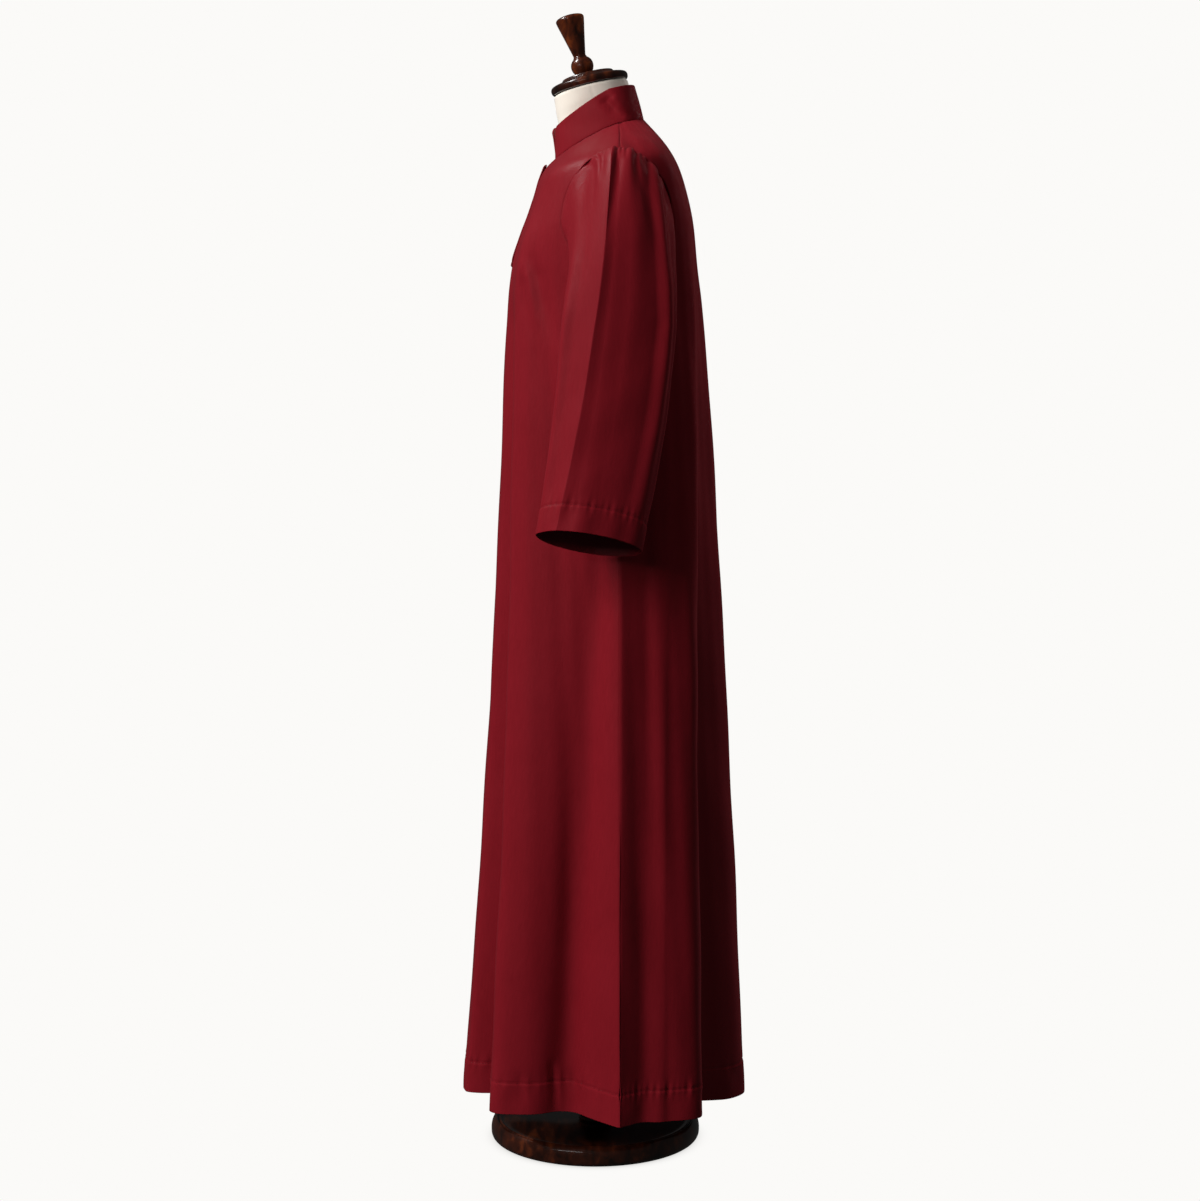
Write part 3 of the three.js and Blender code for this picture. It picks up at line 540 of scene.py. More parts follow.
# How far a hem stands out and how soon, what its stitching pulls in, and what puckers and sags.
HEM = {"doubled": 0.45, "edge": 0.6, "pull": 0.8, "pull_width": 1.6, "pucker": 1.9,
       "pucker_width": 9, "sag": 1.6}
PUCKER_LENGTHS, SAG_LENGTHS = (9, 14, 23), (47, 83)
CUFF_TIGHT = 0.4                       # the cuff's stitching puckers the cloth less than the hem's


def hem_marks(above_edge, around, band, seed, tight=1.0):
    """The turned-up band stands out a little, its stitching pulls in, and the cloth puckers."""
    from_seam = above_edge - band
    doubled = HEM["doubled"] / (1 + np.exp(from_seam / HEM["edge"]))
    pulled = -HEM["pull"] * near_line(from_seam, HEM["pull_width"])
    puckers = wander(around, seed, PUCKER_LENGTHS) * near_line(from_seam, HEM["pucker_width"])
    pucker = puckers * HEM["pucker"] * tight
    sags = wander(around, seed + 3, SAG_LENGTHS) * near_line(above_edge - band * 0.45, band * 0.6)
    sag = sags * HEM["sag"]
    return doubled + pulled + pucker + sag


# %% [markdown]
# ## The two fronts and the back
#
# A cassock's body is cut in long flared panels. The hem is turned up and stitched, the side
# seams are pressed, and the shoulder seams lie a little behind the top of the shoulder. The
# rows below are closer together at the hem and the armhole, where the shape changes quickest.

# %% Rows and columns of the body panels
ARMHOLE_ROWS = 56
ROW_STEP = 0.8                         # the least height between two rows of a panel
END_ROWS = 6                           # how many rows at each end of the armhole are kept apart


def kept_apart(heights):
    """The armhole's first and last rows, moved so that none falls on the next and folds the cloth."""
    for i in range(1, END_ROWS + 1):
        heights[i] = max(heights[i], heights[i - 1] + ROW_STEP)
        heights[-1 - i] = min(heights[-1 - i], heights[-i] - ROW_STEP)
    return heights


def panel_rows(to_front):
    skirt = np.concatenate([[90, 90.7, 92], np.arange(95, 125, 5), np.arange(125, 142, 1.7),
                            np.arange(143, 170, 5), np.arange(170, 1190, 9)])
    shoulder = np.concatenate([np.arange(1388, 1430, 2.6), [1431, 1432.5, 1433.4, 1434]])
    share = np.linspace(-1, 1, ARMHOLE_ROWS + 1)
    swing = 90 * 0.35 * share + 0.65 * np.degrees(np.arcsin(share))
    _, hole_height, hole_reach = armhole_point(swing if to_front else 180 - swing)
    hole_height[0], hole_height[-1] = ARMPIT, SHOULDER_TIP
    hole_height = kept_apart(hole_height)
    hole_reach[0] = hole_reach[-1] = 1
    height = np.concatenate([skirt, hole_height, shoulder])
    reach = np.concatenate([np.ones(len(skirt)), hole_reach, np.ones(len(shoulder))])
    return height, reach


def columns_between(first, last, count):
    """Evenly spaced places with a few more beside each seam."""
    close = np.array([0.006, 0.014, 0.026, 0.045])
    inner = np.linspace(first + 0.07, last - 0.07, count)
    return np.concatenate([[first], first + close, inner, last - close[::-1], [last]])


# %% Cloth has no hard edge where it turns over the shoulder
SOFT_FROM = 1300                       # the height where the softening starts


def relaxed(points, weight, rounds=100):
    """Each inner point moves toward the middle of its four neighbours, again and again."""
    points = points.copy()
    share = 0.5 * weight[1:-1, 1:-1, None]
    for _ in range(rounds):
        middle = (points[:-2, 1:-1] + points[2:, 1:-1] + points[1:-1, :-2] + points[1:-1, 2:]) / 4
        points[1:-1, 1:-1] += (middle - points[1:-1, 1:-1]) * share
    return points


def softened(points, angle, height):
    """The shoulder rounded off, but not the centre front, where the fly lies flat."""
    away = np.clip((np.abs(angle) - 8) / 16, 0, 1)
    return relaxed(points, away * np.clip((height - SOFT_FROM) / 50, 0, 1))


# %% Marks of the drape on the body
SIDE_MARKS = [
    (1.6, 8, 0.1, [(-103, 1238), (-110, 1207), (-114, 1167)]),
    (2.2, 8, 0.1, [(-92, 1237), (-84, 1193), (-76, 1151)]),
    (-4.0, 10, 0.1, [(-82, 1241), (-66, 1177), (-52, 1124)]),
    (-2.0, 7, 0.1, [(-98, 1225), (-92, 1180), (-88, 1140)]),
    (-13.0, 21, 0.1, [(7, 960), (-4, 768), (-17, 527), (-33, 260), (-49, 40), (-53, -200)]),
    (1.2, 2.5, 0.05, [(13, 857), (20, 800), (29, 742)]),
    (-2.6, 4, 0.1, [(-58, 160), (-55, 133), (-54, 80)]),
    (1.8, 4, 0.1, [(-50, 155), (-47, 130), (-46, 90)]),
    (-1.8, 3.5, 0.1, [(-34, 146), (-28, 128), (-26, 110)]),
    (-1.5, 4, 0.1, [(-103, 145), (-99, 126), (-98, 100)]),
    (-1.6, 3.5, 0.1, [(-86, 148), (-82, 124), (-82, 100)]),
    (-1.4, 3.5, 0.1, [(-72, 143), (-70, 126), (-71, 105)]),
]
RIGHT_SHARE = 0.8                      # the same marks are shallower on the right front
RIGHT_MARKS = [(depth * RIGHT_SHARE, width, start, path) for depth, width, start, path in SIDE_MARKS]
BACK_MARKS = [
    (-3.0, 7, 0.1, [(83, 1365), (91, 1332), (96, 1319)]),
    (1.6, 7, 0.1, [(48, 1404), (73, 1398), (92, 1375), (112, 1335)]),
]
NECK_DITCH, NECK_DITCH_WIDTH = 0.3, 1.5
ROUND_WAVES, UP_WAVES = (9.5, 16.3, 23.7), (310, 190)      # in degrees, and in millimetres
ROUND_WAVE_DEPTH, UP_WAVE_DEPTH = 0.9, 0.8


def body_details(points, angle, height, side):
    """How far each point is moved out of the smooth surface, in millimetres."""
    around = lengths_along(points, 1)
    level = height - HEM_HEIGHT
    out = hem_marks(level, around[len(level[:, 0]) // 12][None, :], HEM_BAND, 2 + side)
    for from_seam in (around, around[:, -1:] - around):
        out = out - DITCH_DEPTH * near_line(from_seam, DITCH_WIDTH)
    up = lengths_along(points, 0)
    out = out - NECK_DITCH * near_line(up[-1:] - up, NECK_DITCH_WIDTH)
    calm = np.clip(1 - (height - 1150) / 200, 0.25, 1)
    out = out + wander(angle + height * 0.012, 5 + side, ROUND_WAVES) * ROUND_WAVE_DEPTH * calm
    out = out + wander(height + angle * 6, 9 + side, UP_WAVES) * UP_WAVE_DEPTH * calm
    return out


def front_piece(name, side):
    height, reach = panel_rows(True)
    place = columns_between(0, SIDE_SEAM_LINE, 116)
    place, height = np.meshgrid(place, height)
    reach = np.broadcast_to(reach[:, None], place.shape)
    points = body_point(place, height, reach, True, side)
    angle = body_angle(place, height, reach, True, side)
    points[:, 0, 0] = 0
    points = softened(points, angle, height)
    out = body_details(points, angle, height, side)
    out = out + dents(points, SIDE_MARKS if side > 0 else RIGHT_MARKS)
    points = points + outward_of(points, side) * out[..., None]
    points[:, 0, 0] = 0
    return sheet_from(name, points, cloth, 1.0, side)


def back_piece(name):
    height, reach = panel_rows(False)
    # The centre back has no seam, so it needs none of the close columns beside one.
    half = columns_between(SIDE_SEAM_LINE, CENTRE_BACK_LINE, 92)[:-5]
    half = np.append(half, CENTRE_BACK_LINE)
    halves = []
    for side in (1, -1):
        place, tall = np.meshgrid(half, height)
        wide = np.broadcast_to(reach[:, None], place.shape)
        points = body_point(place, tall, wide, False, side)
        angle = body_angle(place, tall, wide, False, side)
        halves.append((points, angle * side, tall))
    points, angle, tall = (np.concatenate([a, b[:, -2::-1]], 1) for a, b in zip(*halves))
    points = softened(points, angle, tall)
    out = body_details(points, angle, tall, 3) + dents(points, BACK_MARKS)
    points = points + outward_of(points) * out[..., None]
    return sheet_from(name, points, cloth, 1.0)


front_left = front_piece("cassock_front_left", 1)
front_right = front_piece("cassock_front_right", -1)
back = back_piece("cassock_back")
for piece, node in ((front_left, "front_left"), (front_right, "front_right"), (back, "back")):
    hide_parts(node)

# %% [markdown]
# ## The sleeves
#
# A choir sleeve is set into the armhole with small gathers over the shoulder, hangs straight
# down and is pressed with one sharp crease on its outer side. The head leaves the armhole on
# a curve and turns down into the arm. Fold lines carry the crease and the long hollows.

# %% The sleeve's tables
SLEEVE_RINGS = table("drop height x y wide deep out_rise front_rise", [
    (0, 1150, 247, 31, 74, 36, 6, 0),
    (95, 1055, 253, 22, 73.5, 36, 8, 2),
    (185, 965, 259, 9, 71, 35, 12, 6),
    (277.5, 872.5, 266, -7.5, 67.5, 36, 15.5, 11),
])
SLEEVE_LINES = table("head elbow cuff head_depth elbow_depth cuff_depth crisp", [
    (18, 14, 8, 0, 1, 1, 0),
    (50, 38, 30, -7, -3.5, -2, 0),
    (84, 66, 52, 2, 4.5, 3, 1),          # the pressed crease
    (92, 78, 70, -3, 0, 1, 0),
    (104, 98, 94, -1, -3, -2, 0),
    (118, 133, 125, -6, -5, -2, 0),
    (132, 152, 150, 1, 2, 1, 0),
    (150, 168, 168, -6, -1, 0, 0),
    (172, 186, 186, 0, 1, 1, 0),
    (235, 240, 240, 0, -2, -1, 0),
    (270, 270, 270, 0, 0, 0, 0),       # the underarm seam
    (310, 310, 310, 0, -2, -1, 0),
])
SLEEVE_TURN = 0.1                      # its front edge stands further out than its back edge
HEAD_END = 0.42                        # the part of the sleeve's length that its head takes
SPRING = {"out": 0.6, "out_at_top": 0.4, "inward": 0.42, "fall": -0.55, "rise": 0.72}
HANG = np.array([0.06, -0.08, -1.0])
HEAD_FULLNESS = 0.95

# Each gather's place round the armhole and its width, both in degrees, its depth in mm, and
# the part of the sleeve's length that it takes to fade out.
GATHERS = table("angle width depth reach", [
    (56, 4.2, 2.8, 0.2),
    (66, 1.9, 2.4, 0.12),
    (73.5, 1.6, 2.3, 0.1),
    (77.4, 1.4, 1.8, 0.09),
    (80.4, 1.2, 1.6, 0.085),
    (83.4, 1.3, 2.1, 0.09),
    (88.5, 1.5, 3.4, 0.15),
    (93.0, 1.3, 2.8, 0.09),
    (97.7, 1.6, 3.2, 0.1),
    (107.6, 2.4, 5.0, 0.24),
    (114, 1.8, 2.4, 0.1),
    (121.4, 2.4, 3.6, 0.14),
    (135.5, 2.8, 4.5, 0.3),
])
HEAD_PUFF = 1.6                        # how far the gathered cloth stands out between the folds


# %% Points of the sleeve
def arm_point(angle, length):
    ring = row_at(SLEEVE_RINGS, "drop", (length - HEAD_END) / (1 - HEAD_END) * SLEEVE_RINGS["drop"][-1])
    sine, cosine = np.sin(np.radians(angle)), np.cos(np.radians(angle))
    x = ring["x"] + ring["deep"] * sine + ring["wide"] * cosine * SLEEVE_TURN
    y = ring["y"] - ring["wide"] * cosine
    z = ring["height"] + ring["out_rise"] * sine + ring["front_rise"] * cosine
    return np.stack([x, y, z], -1)


def head_point(angle, length, start):
    """From the armhole out and over into the arm's first ring, on one curve."""
    sine, cosine = np.sin(np.radians(angle)), np.cos(np.radians(angle))
    end = arm_point(angle, np.full_like(length, HEAD_END))
    carry = np.linalg.norm(end - start, axis=-1, keepdims=True) * HEAD_FULLNESS
    spring = np.stack([SPRING["out"] + SPRING["out_at_top"] * sine,
                       SPRING["inward"] * np.maximum(0, cosine), SPRING["fall"] + SPRING["rise"] * sine], -1)
    spring = spring / np.linalg.norm(spring, axis=-1, keepdims=True) * carry
    hang = HANG / np.linalg.norm(HANG) * carry
    t = (length / HEAD_END)[..., None]
    return (start * (1 + 2 * t) * (1 - t) ** 2 + end * t * t * (3 - 2 * t)
            + spring * t * (1 - t) ** 2 + hang * t * t * (t - 1))


def three_way(name, length):
    """A column of the fold lines at each length: head, elbow and cuff with lines last."""
    suffix = name and "_" + name
    head, elbow, cuff = (SLEEVE_LINES[part + suffix] for part in ("head", "elbow", "cuff"))
    t = length[..., None]
    upper = mix(head, elbow, t / HEAD_END)
    lower = mix(elbow, cuff, (t - HEAD_END) / (1 - HEAD_END))
    return np.where(t < HEAD_END, upper, lower)


def sleeve_columns(head_angle, length):
    """Each column's true angle, and the depth of the folds there."""
    lines = SLEEVE_LINES["head"]
    turned = np.where(head_angle < lines[0], head_angle + 360, head_angle)
    i = np.clip(np.searchsorted(lines, turned, side="right") - 1, 0, len(lines) - 1)
    after = (i + 1) % len(lines)
    next_head = lines[after] + np.where(after == 0, 360, 0)
    t = (turned - lines[i]) / (next_head - lines[i])
    angles, depths = three_way("", length), three_way("depth", length)
    a, b = pick(angles, i), pick(angles, after)
    b = np.where(b < a, b + 360, b)
    crisp = SLEEVE_LINES["crisp"]
    depth = mix(pick(depths, i), pick(depths, after), ease(t, crisp[i], crisp[after]))
    return mix(a, b, t), depth


# %% Gathers, cuff and set of the sleeve
def gather_depth(angle, length):
    """Narrow folds that start at the armhole seam, over cloth that stands out a little."""
    t = length[..., None]
    start = np.minimum(1, t / 0.014 + 0.15)
    fade = np.clip(1 - t / GATHERS["reach"], 0, 1) ** 0.8 * start
    widen = GATHERS["width"] * (1 + t / 0.25)
    folds = GATHERS["depth"] * fade * near_line(angle[..., None] - GATHERS["angle"], widen)
    puff = HEAD_PUFF * near_line(angle - 95, 34) * near_line(length - 0.06, 0.06)
    return puff - folds.sum(-1)


SLEEVE_MARKS = [
    (-3.0, 6, 0.1, [(33, 1381), (29, 1353), (25, 1326), (20, 1294), (13, 1249)]),
    (-3.0, 7, 0.1, [(53, 1373), (60, 1347), (69, 1314), (78, 1276), (84, 1244)]),
    (-2.6, 4.5, 0.1, [(11, 1366), (8, 1353), (7, 1340)]),
    (-4.5, 9, 0.1, [(-10, 1375), (-15, 1329), (-21, 1290), (-30, 1235)]),
    (-3.0, 8, 0.1, [(-34, 1330), (-36, 1280), (-40, 1220)]),
]


def sleeve_piece(name, side):
    lengths = np.concatenate([
        [0, 0.0015, 0.004, 0.008], np.linspace(0.013, 0.1, 24), np.linspace(0.106, 0.9, 92),
        np.linspace(0.906, 0.945, 12), np.linspace(0.952, 0.99, 6), [0.996, 0.9985, 1.0]])
    around = np.concatenate([
        np.linspace(18, 50, 24)[:-1], np.linspace(50, 140, 150)[:-1],
        np.linspace(140, 190, 30)[:-1], np.linspace(190, 378, 48)])
    head_angle, length = np.meshgrid(around, lengths)
    angle, depth = sleeve_columns(head_angle % 360, length)
    start = armhole_point(angle)[0] - (1.0, 0, 0)
    head, arm = head_point(angle, length, start), arm_point(angle, length)
    points = np.where(length[..., None] < HEAD_END, head, arm)
    depth = depth * np.minimum(1, length / 0.05) + gather_depth(head_angle, length)
    points = points + outward_of(points, -1) * depth[..., None]
    down = lengths_along(points, 0)
    cuff_row = lengths_along(points, 1)[-14][None, :]
    out = hem_marks(down[-1:] - down, cuff_row, CUFF_BAND, 11, tight=CUFF_TIGHT)
    settled = np.clip(length / 0.1, 0, 1)
    out = out + wander(angle * 1.3 + length * 40, 21, (37, 59, 81)) * 0.5 * settled
    out = out + wander(length * 500 + angle, 23, (170, 97)) * 0.5 * settled
    out = out + dents(points, SLEEVE_MARKS) * np.clip(outward_of(points, -1)[..., 0], 0, 1)
    under = np.abs(((head_angle % 360) - 270 + 180) % 360 - 180)
    out = out - 0.7 * near_line(under, 1.2)
    out = out - 0.8 * near_line(down - 5, 4)
    points = points + outward_of(points, -1) * out[..., None]
    points[:, -1] = points[:, 0]
    return sheet_from(name, points * (side, 1, 1), cloth, 1.0, -side, tube=True)


sleeve_left = sleeve_piece("cassock_sleeve_left", 1)
sleeve_right = sleeve_piece("cassock_sleeve_right", -1)
for piece, node in ((sleeve_left, "sleeve_left"), (sleeve_right, "sleeve_right")):
    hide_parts(node)

# %% [markdown]
# ## The collar
#
# The stand collar is two layers of the cloth with an interlining between them. It is cut
# straight, joined to the neck seam and rounded off at both front ends. Its edges are folded
# and not cut, so they are round: a Bevel modifier rounds them after Solidify.

# %% Collar
COLLAR = {"half": 57, "front": -55.5, "back": 55, "front_height": 1434, "side_height": 1481,
          "back_height": 1491}
COLLAR_OPENING, COLLAR_CORNER, CORNER_DROP, COLLAR_WALL = 5, 9, 0.16, 2.4
FREE_CORNER = 5                        # the right end has no hook and leans to the front
COLLAR_MARKS = [
    (-4.0, 7, 0.1, [(10, 1469), (27, 1451), (41, 1441)]),
    (2.2, 6, 0.1, [(22, 1470), (37, 1455), (47, 1447)]),
]


def collar_point(angle, up):
    neck = row_at(BODY_RINGS, "height", np.full_like(angle, NECK_HEIGHT, dtype=float))
    low = ring_point(neck, angle) - (0, 0, 0.1)
    side = COLLAR["side_height"]
    top = {"height": side, "half": COLLAR["half"], "front": COLLAR["front"], "back": COLLAR["back"],
           "front_rise": COLLAR["front_height"] - side, "back_rise": COLLAR["back_height"] - side,
           "square": 2.0, "sweep": 1.1}
    high = ring_point(top, angle, mid=20)
    return mix(low, high, up[..., None])


def collar_piece():
    angles = np.linspace(COLLAR_OPENING, 360 - COLLAR_OPENING, 151)
    ups = np.concatenate([[0, 0.02, 0.05], np.linspace(0.1, 0.95, 22), [1]])
    angle, up = np.meshgrid(angles, ups)
    from_end = np.minimum(angle, 360 - angle) - COLLAR_OPENING
    corner = np.maximum(0, 1 - from_end / COLLAR_CORNER) ** 2 * CORNER_DROP
    points = collar_point(angle, up * (1 - corner))
    out = -0.3 * near_line(up, 0.03) + wander(angle + up * 30, 31, (47, 83)) * 0.5 * np.sin(up * math.pi)
    out = out + dents(points, COLLAR_MARKS) * (points[..., 0] > 0)
    points = points + outward_of(points) * out[..., None]
    points[..., 1] -= FREE_CORNER * near_line(360 - COLLAR_OPENING - angle, 14) * up ** 2
    piece = sheet_from("cassock_collar", points, cloth, COLLAR_WALL)
    round_edge(piece, 0.0009)
    return piece


collar = collar_piece()
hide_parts("collar")

# %% [markdown]
# ## The covered front closing
#
# A strip with a folded edge covers the fastening from the neck to the breast. It lies on both
# fronts, is stitched down along one side and across its lower end, and stands off a little at
# the top, where nothing holds it.

# %% Front fly
FLY = {"top": 1379, "bottom": 1242, "from": -9, "to": 27, "curl": 2.2, "curl_reach": 24}
FLY_WALL, FLY_SEAM = 2.0, 6            # its thickness, and its stitching's distance from the edge


def front_ring_height(centre_height):
    """The side height of the body ring whose centre front lies at each height."""
    height = np.asarray(centre_height, float)
    for _ in range(20):
        height = np.minimum(NECK_HEIGHT, centre_height - row_at(BODY_RINGS, "height", height)["front_rise"])
    return height


def fly_point(x, centre_height, lift):
    height = front_ring_height(centre_height)
    ring = row_at(BODY_RINGS, "height", height)
    angle = np.degrees(np.arcsin(np.abs(x / ring["half"]) ** (ring["square"] / 2)))
    point = ring_point(ring, angle)
    point[..., 0] = x
    ahead = row_at(BODY_RINGS, "height", height + 4)
    slope_y = ahead["front"] - ring["front"]
    slope_z = 4 + ahead["front_rise"] - ring["front_rise"]
    normal = np.stack([x / ring["half"] * 0.4, -slope_z, slope_y], -1)
    return point + normal / np.linalg.norm(normal, axis=-1, keepdims=True) * np.asarray(lift)[..., None]


def fly_piece():
    across, up = np.linspace(FLY["from"], FLY["to"], 19), np.linspace(FLY["bottom"], FLY["top"], 70)
    x, height = np.meshgrid(across, up)
    free = np.clip((height - FLY["top"] + FLY["curl_reach"]) / FLY["curl_reach"], 0, 1)
    rolled = np.clip((height - FLY["top"] + 7) / 7, 0, 1)
    roll = 1 + 0.5 * np.sin(math.pi * rolled) - 0.7 * rolled ** 2
    lift = 0.7 + FLY["curl"] * free ** 2 * roll + FLY_WALL - 0.2
    from_side, from_end = x - (FLY["to"] - FLY_SEAM), height - FLY["bottom"] - FLY_SEAM
    held = near_line(from_side, 1.3) + near_line(from_end, 1.3)
    lift = lift - 0.5 * np.minimum(1, held) + wander(height, 41, (37, 61)) * 0.25
    piece = sheet_from("cassock_front_fly", fly_point(x, height, lift), cloth, FLY_WALL)
    round_edge(piece, 0.0007)
    return piece


front_fly = fly_piece()
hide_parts("front_fly")

# %% [markdown]
# ## Sewing
#
# The hems are stitched by machine, 3.6 mm from one stitch to the next. A stitch is a short
# sausage of thread that sinks into the cloth at both ends. Each is one small sphere with few
# faces, stretched along the seam, because there are nearly 700 of them.

# %% Thread material
def make_thread():
    material = bpy.data.materials.new("red spun polyester thread")
    material.use_nodes = True
    tree = material.node_tree
    shader = tree.nodes["Principled BSDF"]
    place = add_node(tree, "ShaderNodeTexCoord").outputs["Object"]
    tone = blend(tree, noise(tree, place, 900.0, 2.0), to_linear("#4a0c12"), to_linear("#65141c"))
    tree.links.new(tone, shader.inputs["Base Color"])
    shader.inputs["Roughness"].default_value = 0.5
    return material


thread = make_thread()
STITCH = {"pitch": 3.6, "length": 2.8, "wide": 0.42, "above": 0.12}


# %% A row of stitches
def resampled(points, normals, pitch):
    steps = np.concatenate([[0], np.cumsum(np.linalg.norm(np.diff(points, axis=0), axis=1))])
    at = np.arange(pitch / 2, steps[-1], pitch)
    places, outs = (np.stack([np.interp(at, steps, array[:, k]) for k in range(3)], -1)
                    for array in (points, normals))
    return places, outs / np.linalg.norm(outs, axis=1, keepdims=True)


def stitch_rows(name, lines):
    """One piece with a stitch at each step along the lines, which are (points, normals) in mm."""
    bm = bmesh.new()
    count = 0
    for points, normals in lines:
        places, outs = resampled(points, normals, STITCH["pitch"])
        ways = np.gradient(places, axis=0)
        for place, out, way in zip(places, outs, ways):
            along = Vector(way).normalized()
            up = Vector(out)
            across = up.cross(along).normalized()
            sides = along * STITCH["length"] / 2, across * STITCH["wide"] / 2, up * STITCH["wide"] / 2
            turn = Matrix(sides).transposed().to_4x4()
            turn.translation = Vector(place) + up * STITCH["above"]
            metres = Matrix.Scale(0.001, 4) @ turn
            bmesh.ops.create_uvsphere(bm, u_segments=6, v_segments=4, radius=1, matrix=metres)
            count += 1
    bmesh.ops.recalc_face_normals(bm, faces=bm.faces)
    piece = link_piece(name, mesh_from(bm, name), thread)
    print(f"{name}: {count} stitches")
    return piece


def across_piece(name, level, from_top=False):
    """The line across a piece at a distance above its first row, or its last one."""
    arrays = [array[::-1] if from_top else array for array in SURFACES[name]]
    up = lengths_along(arrays[0], 0)
    columns = range(up.shape[1])
    return [np.array([[np.interp(level, up[:, c], array[:, c, k]) for k in range(3)] for c in columns])
            for array in arrays]


def up_piece(name, share, first, last):
    points, normals = SURFACES[name]
    column = round(share * (points.shape[1] - 1))
    return points[first:last, column], normals[first:last, column]


for piece in (front_left, front_right, back):
    line = across_piece(piece.name, HEM_BAND)
    stitch_rows(piece.name + "_hem_stitches", [line])
for piece in (sleeve_left, sleeve_right):
    line = across_piece(piece.name, CUFF_BAND, from_top=True)
    stitch_rows(piece.name + "_cuff_stitches", [line])
stitch_rows("front_fly_stitches", [
    up_piece(front_fly.name, (FLY["to"] - FLY_SEAM - FLY["from"]) / (FLY["to"] - FLY["from"]), 3, 60),
    across_piece(front_fly.name, FLY_SEAM)])

# %% [markdown]
# ## The dress form
#
# The form is a firm body, of foam or a padded shell, covered in cream cotton jersey. Only its
# neck shows, so that is where the detail goes: a sewn seam up each side and a slight pull under
# the cap. The rest of it lies under the cloth and carries the shoulders.

# %% Jersey material
def make_jersey():
    material = bpy.data.materials.new("cream cotton jersey")
    material.use_nodes = True
    tree = material.node_tree
    shader = tree.nodes["Principled BSDF"]
    cut = add_node(tree, "ShaderNodeUVMap", uv_map="cut").outputs[0]
    place = add_node(tree, "ShaderNodeTexCoord").outputs["Object"]
    # A knit stitch is about 0.7 mm wide; it is drawn at 1.4 mm so that it shows up close.
    knit = bands(tree, cut, 1.4, "X", 1.5, 2.0, 3.0)
    tone = blend(tree, noise(tree, place, 18.0, 4.0), to_linear("#e9dfd0"), to_linear("#f5ecdf"))
    tree.links.new(tone, shader.inputs["Base Color"])
    tree.links.new(bump(tree, knit, 0.2, 0.0004), shader.inputs["Normal"])
    shader.inputs["Roughness"].default_value = 0.85
    shader.inputs["Sheen Weight"].default_value = 0.35
    return material


jersey = make_jersey()

# %% The form's rings
FORM_RINGS = table("height half front back front_rise back_rise square sweep mid", [
    (800, 158, -98, 108, 0, 0, 2.3, 1, 20),
    (880, 160, -100, 112, 0, 0, 2.3, 1, 20),
    (1010, 128, -82, 88, 0, 0, 2.2, 1, 20),
    (1110, 148, -98, 104, 0, 0, 2.3, 1, 25),
    (1190, 170, -113, 125, 0, 0, 2.5, 1.3, 33),
    (1245, 180, -111, 133, -4, 0, 2.7, 1.3, 33),
    (1310, 187, -97.5, 132, -22, -10, 2.8, 1.3, 33),
    (1355, 190, -83.5, 122, -30, -10, 2.8, 1.3, 33),
])
FORM_NECK = table("height half front back front_rise back_rise square sweep mid", [
    (1429, 58, -52, 61.5, -44, 9, 2.0, 1.2, 25),
    (1441, 51.5, -49.5, 57.5, -42, 9, 2.0, 1.1, 20),
    (1462, 49, -50.5, 50.5, -28, 9, 2.0, 1.1, 4),
    (1475, 50.5, -54, 48.5, -20, 11, 2.0, 1.0, -3),
    (1488, 51.5, -57, 44.5, -12.2, 12.2, 2.0, 1.0, -6.5),
])
UNDER_CLOTH = 6.0                      # the form's distance under the cloth's outer surface
NECK_SEAM = {"depth": 0.5, "width": 1.3}
NECK_RADIUS = 50


def form_rows(rings, heights, angles):
    angle, height = np.meshgrid(angles, heights)
    ring = row_at(rings, "height", height)
    return ring_point(ring, angle, ring["mid"])


def form_piece():
    angles = np.linspace(0, 360, 145)
    low = form_rows(FORM_RINGS, np.arange(800, 1356, 15), angles)
    angle, height = np.meshgrid(angles, np.arange(1386, 1425, 3.0))
    shoulder = ring_point(row_at(BODY_RINGS, "height", height), angle)
    shoulder = (shoulder - outward_of(shoulder) * UNDER_CLOTH)[2:-1]
    neck = form_rows(FORM_NECK, np.concatenate([np.arange(1429, 1486, 2), [1486.5, 1487.4, 1488]]), angles)
    points = np.concatenate([low, shoulder, neck])
    from_top = lengths_along(points[::-1], 0)[::-1]
    turned = np.radians(np.broadcast_to(angles, points.shape[:2]))
    from_seam = np.abs(np.cos(turned)) * NECK_RADIUS
    out = -NECK_SEAM["depth"] * near_line(from_seam, NECK_SEAM["width"]) - 1.2 * near_line(from_top, 1.2)
    out = out + 0.35 * wander(np.degrees(turned), 51, (40, 72)) * near_line(from_top, 12)
    points = points + outward_of(points) * out[..., None]
    points[:, -1] = points[:, 0]
    piece = sheet_from("form_jersey_torso", points, jersey, 1.0, tube=True)
    piece.modifiers.clear()
    bm = bmesh.new()
    bm.from_mesh(piece.data)
    bmesh.ops.holes_fill(bm, edges=[e for e in bm.edges if e.is_boundary])
    bmesh.ops.recalc_face_normals(bm, faces=bm.faces)
    bm.to_mesh(piece.data)
    bm.free()
    return piece


form = form_piece()
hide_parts("form_torso")

# %% [markdown]
# ## Turned wood
#
# The cap, the finial, the pole and the round foot are turned from hardwood on a lathe, stained
# almost black-brown and lacquered until they shine. A lathe makes a shape by its profile, and
# bmesh.ops.spin does the same. The profile's corners are cut back twice, as sandpaper does.

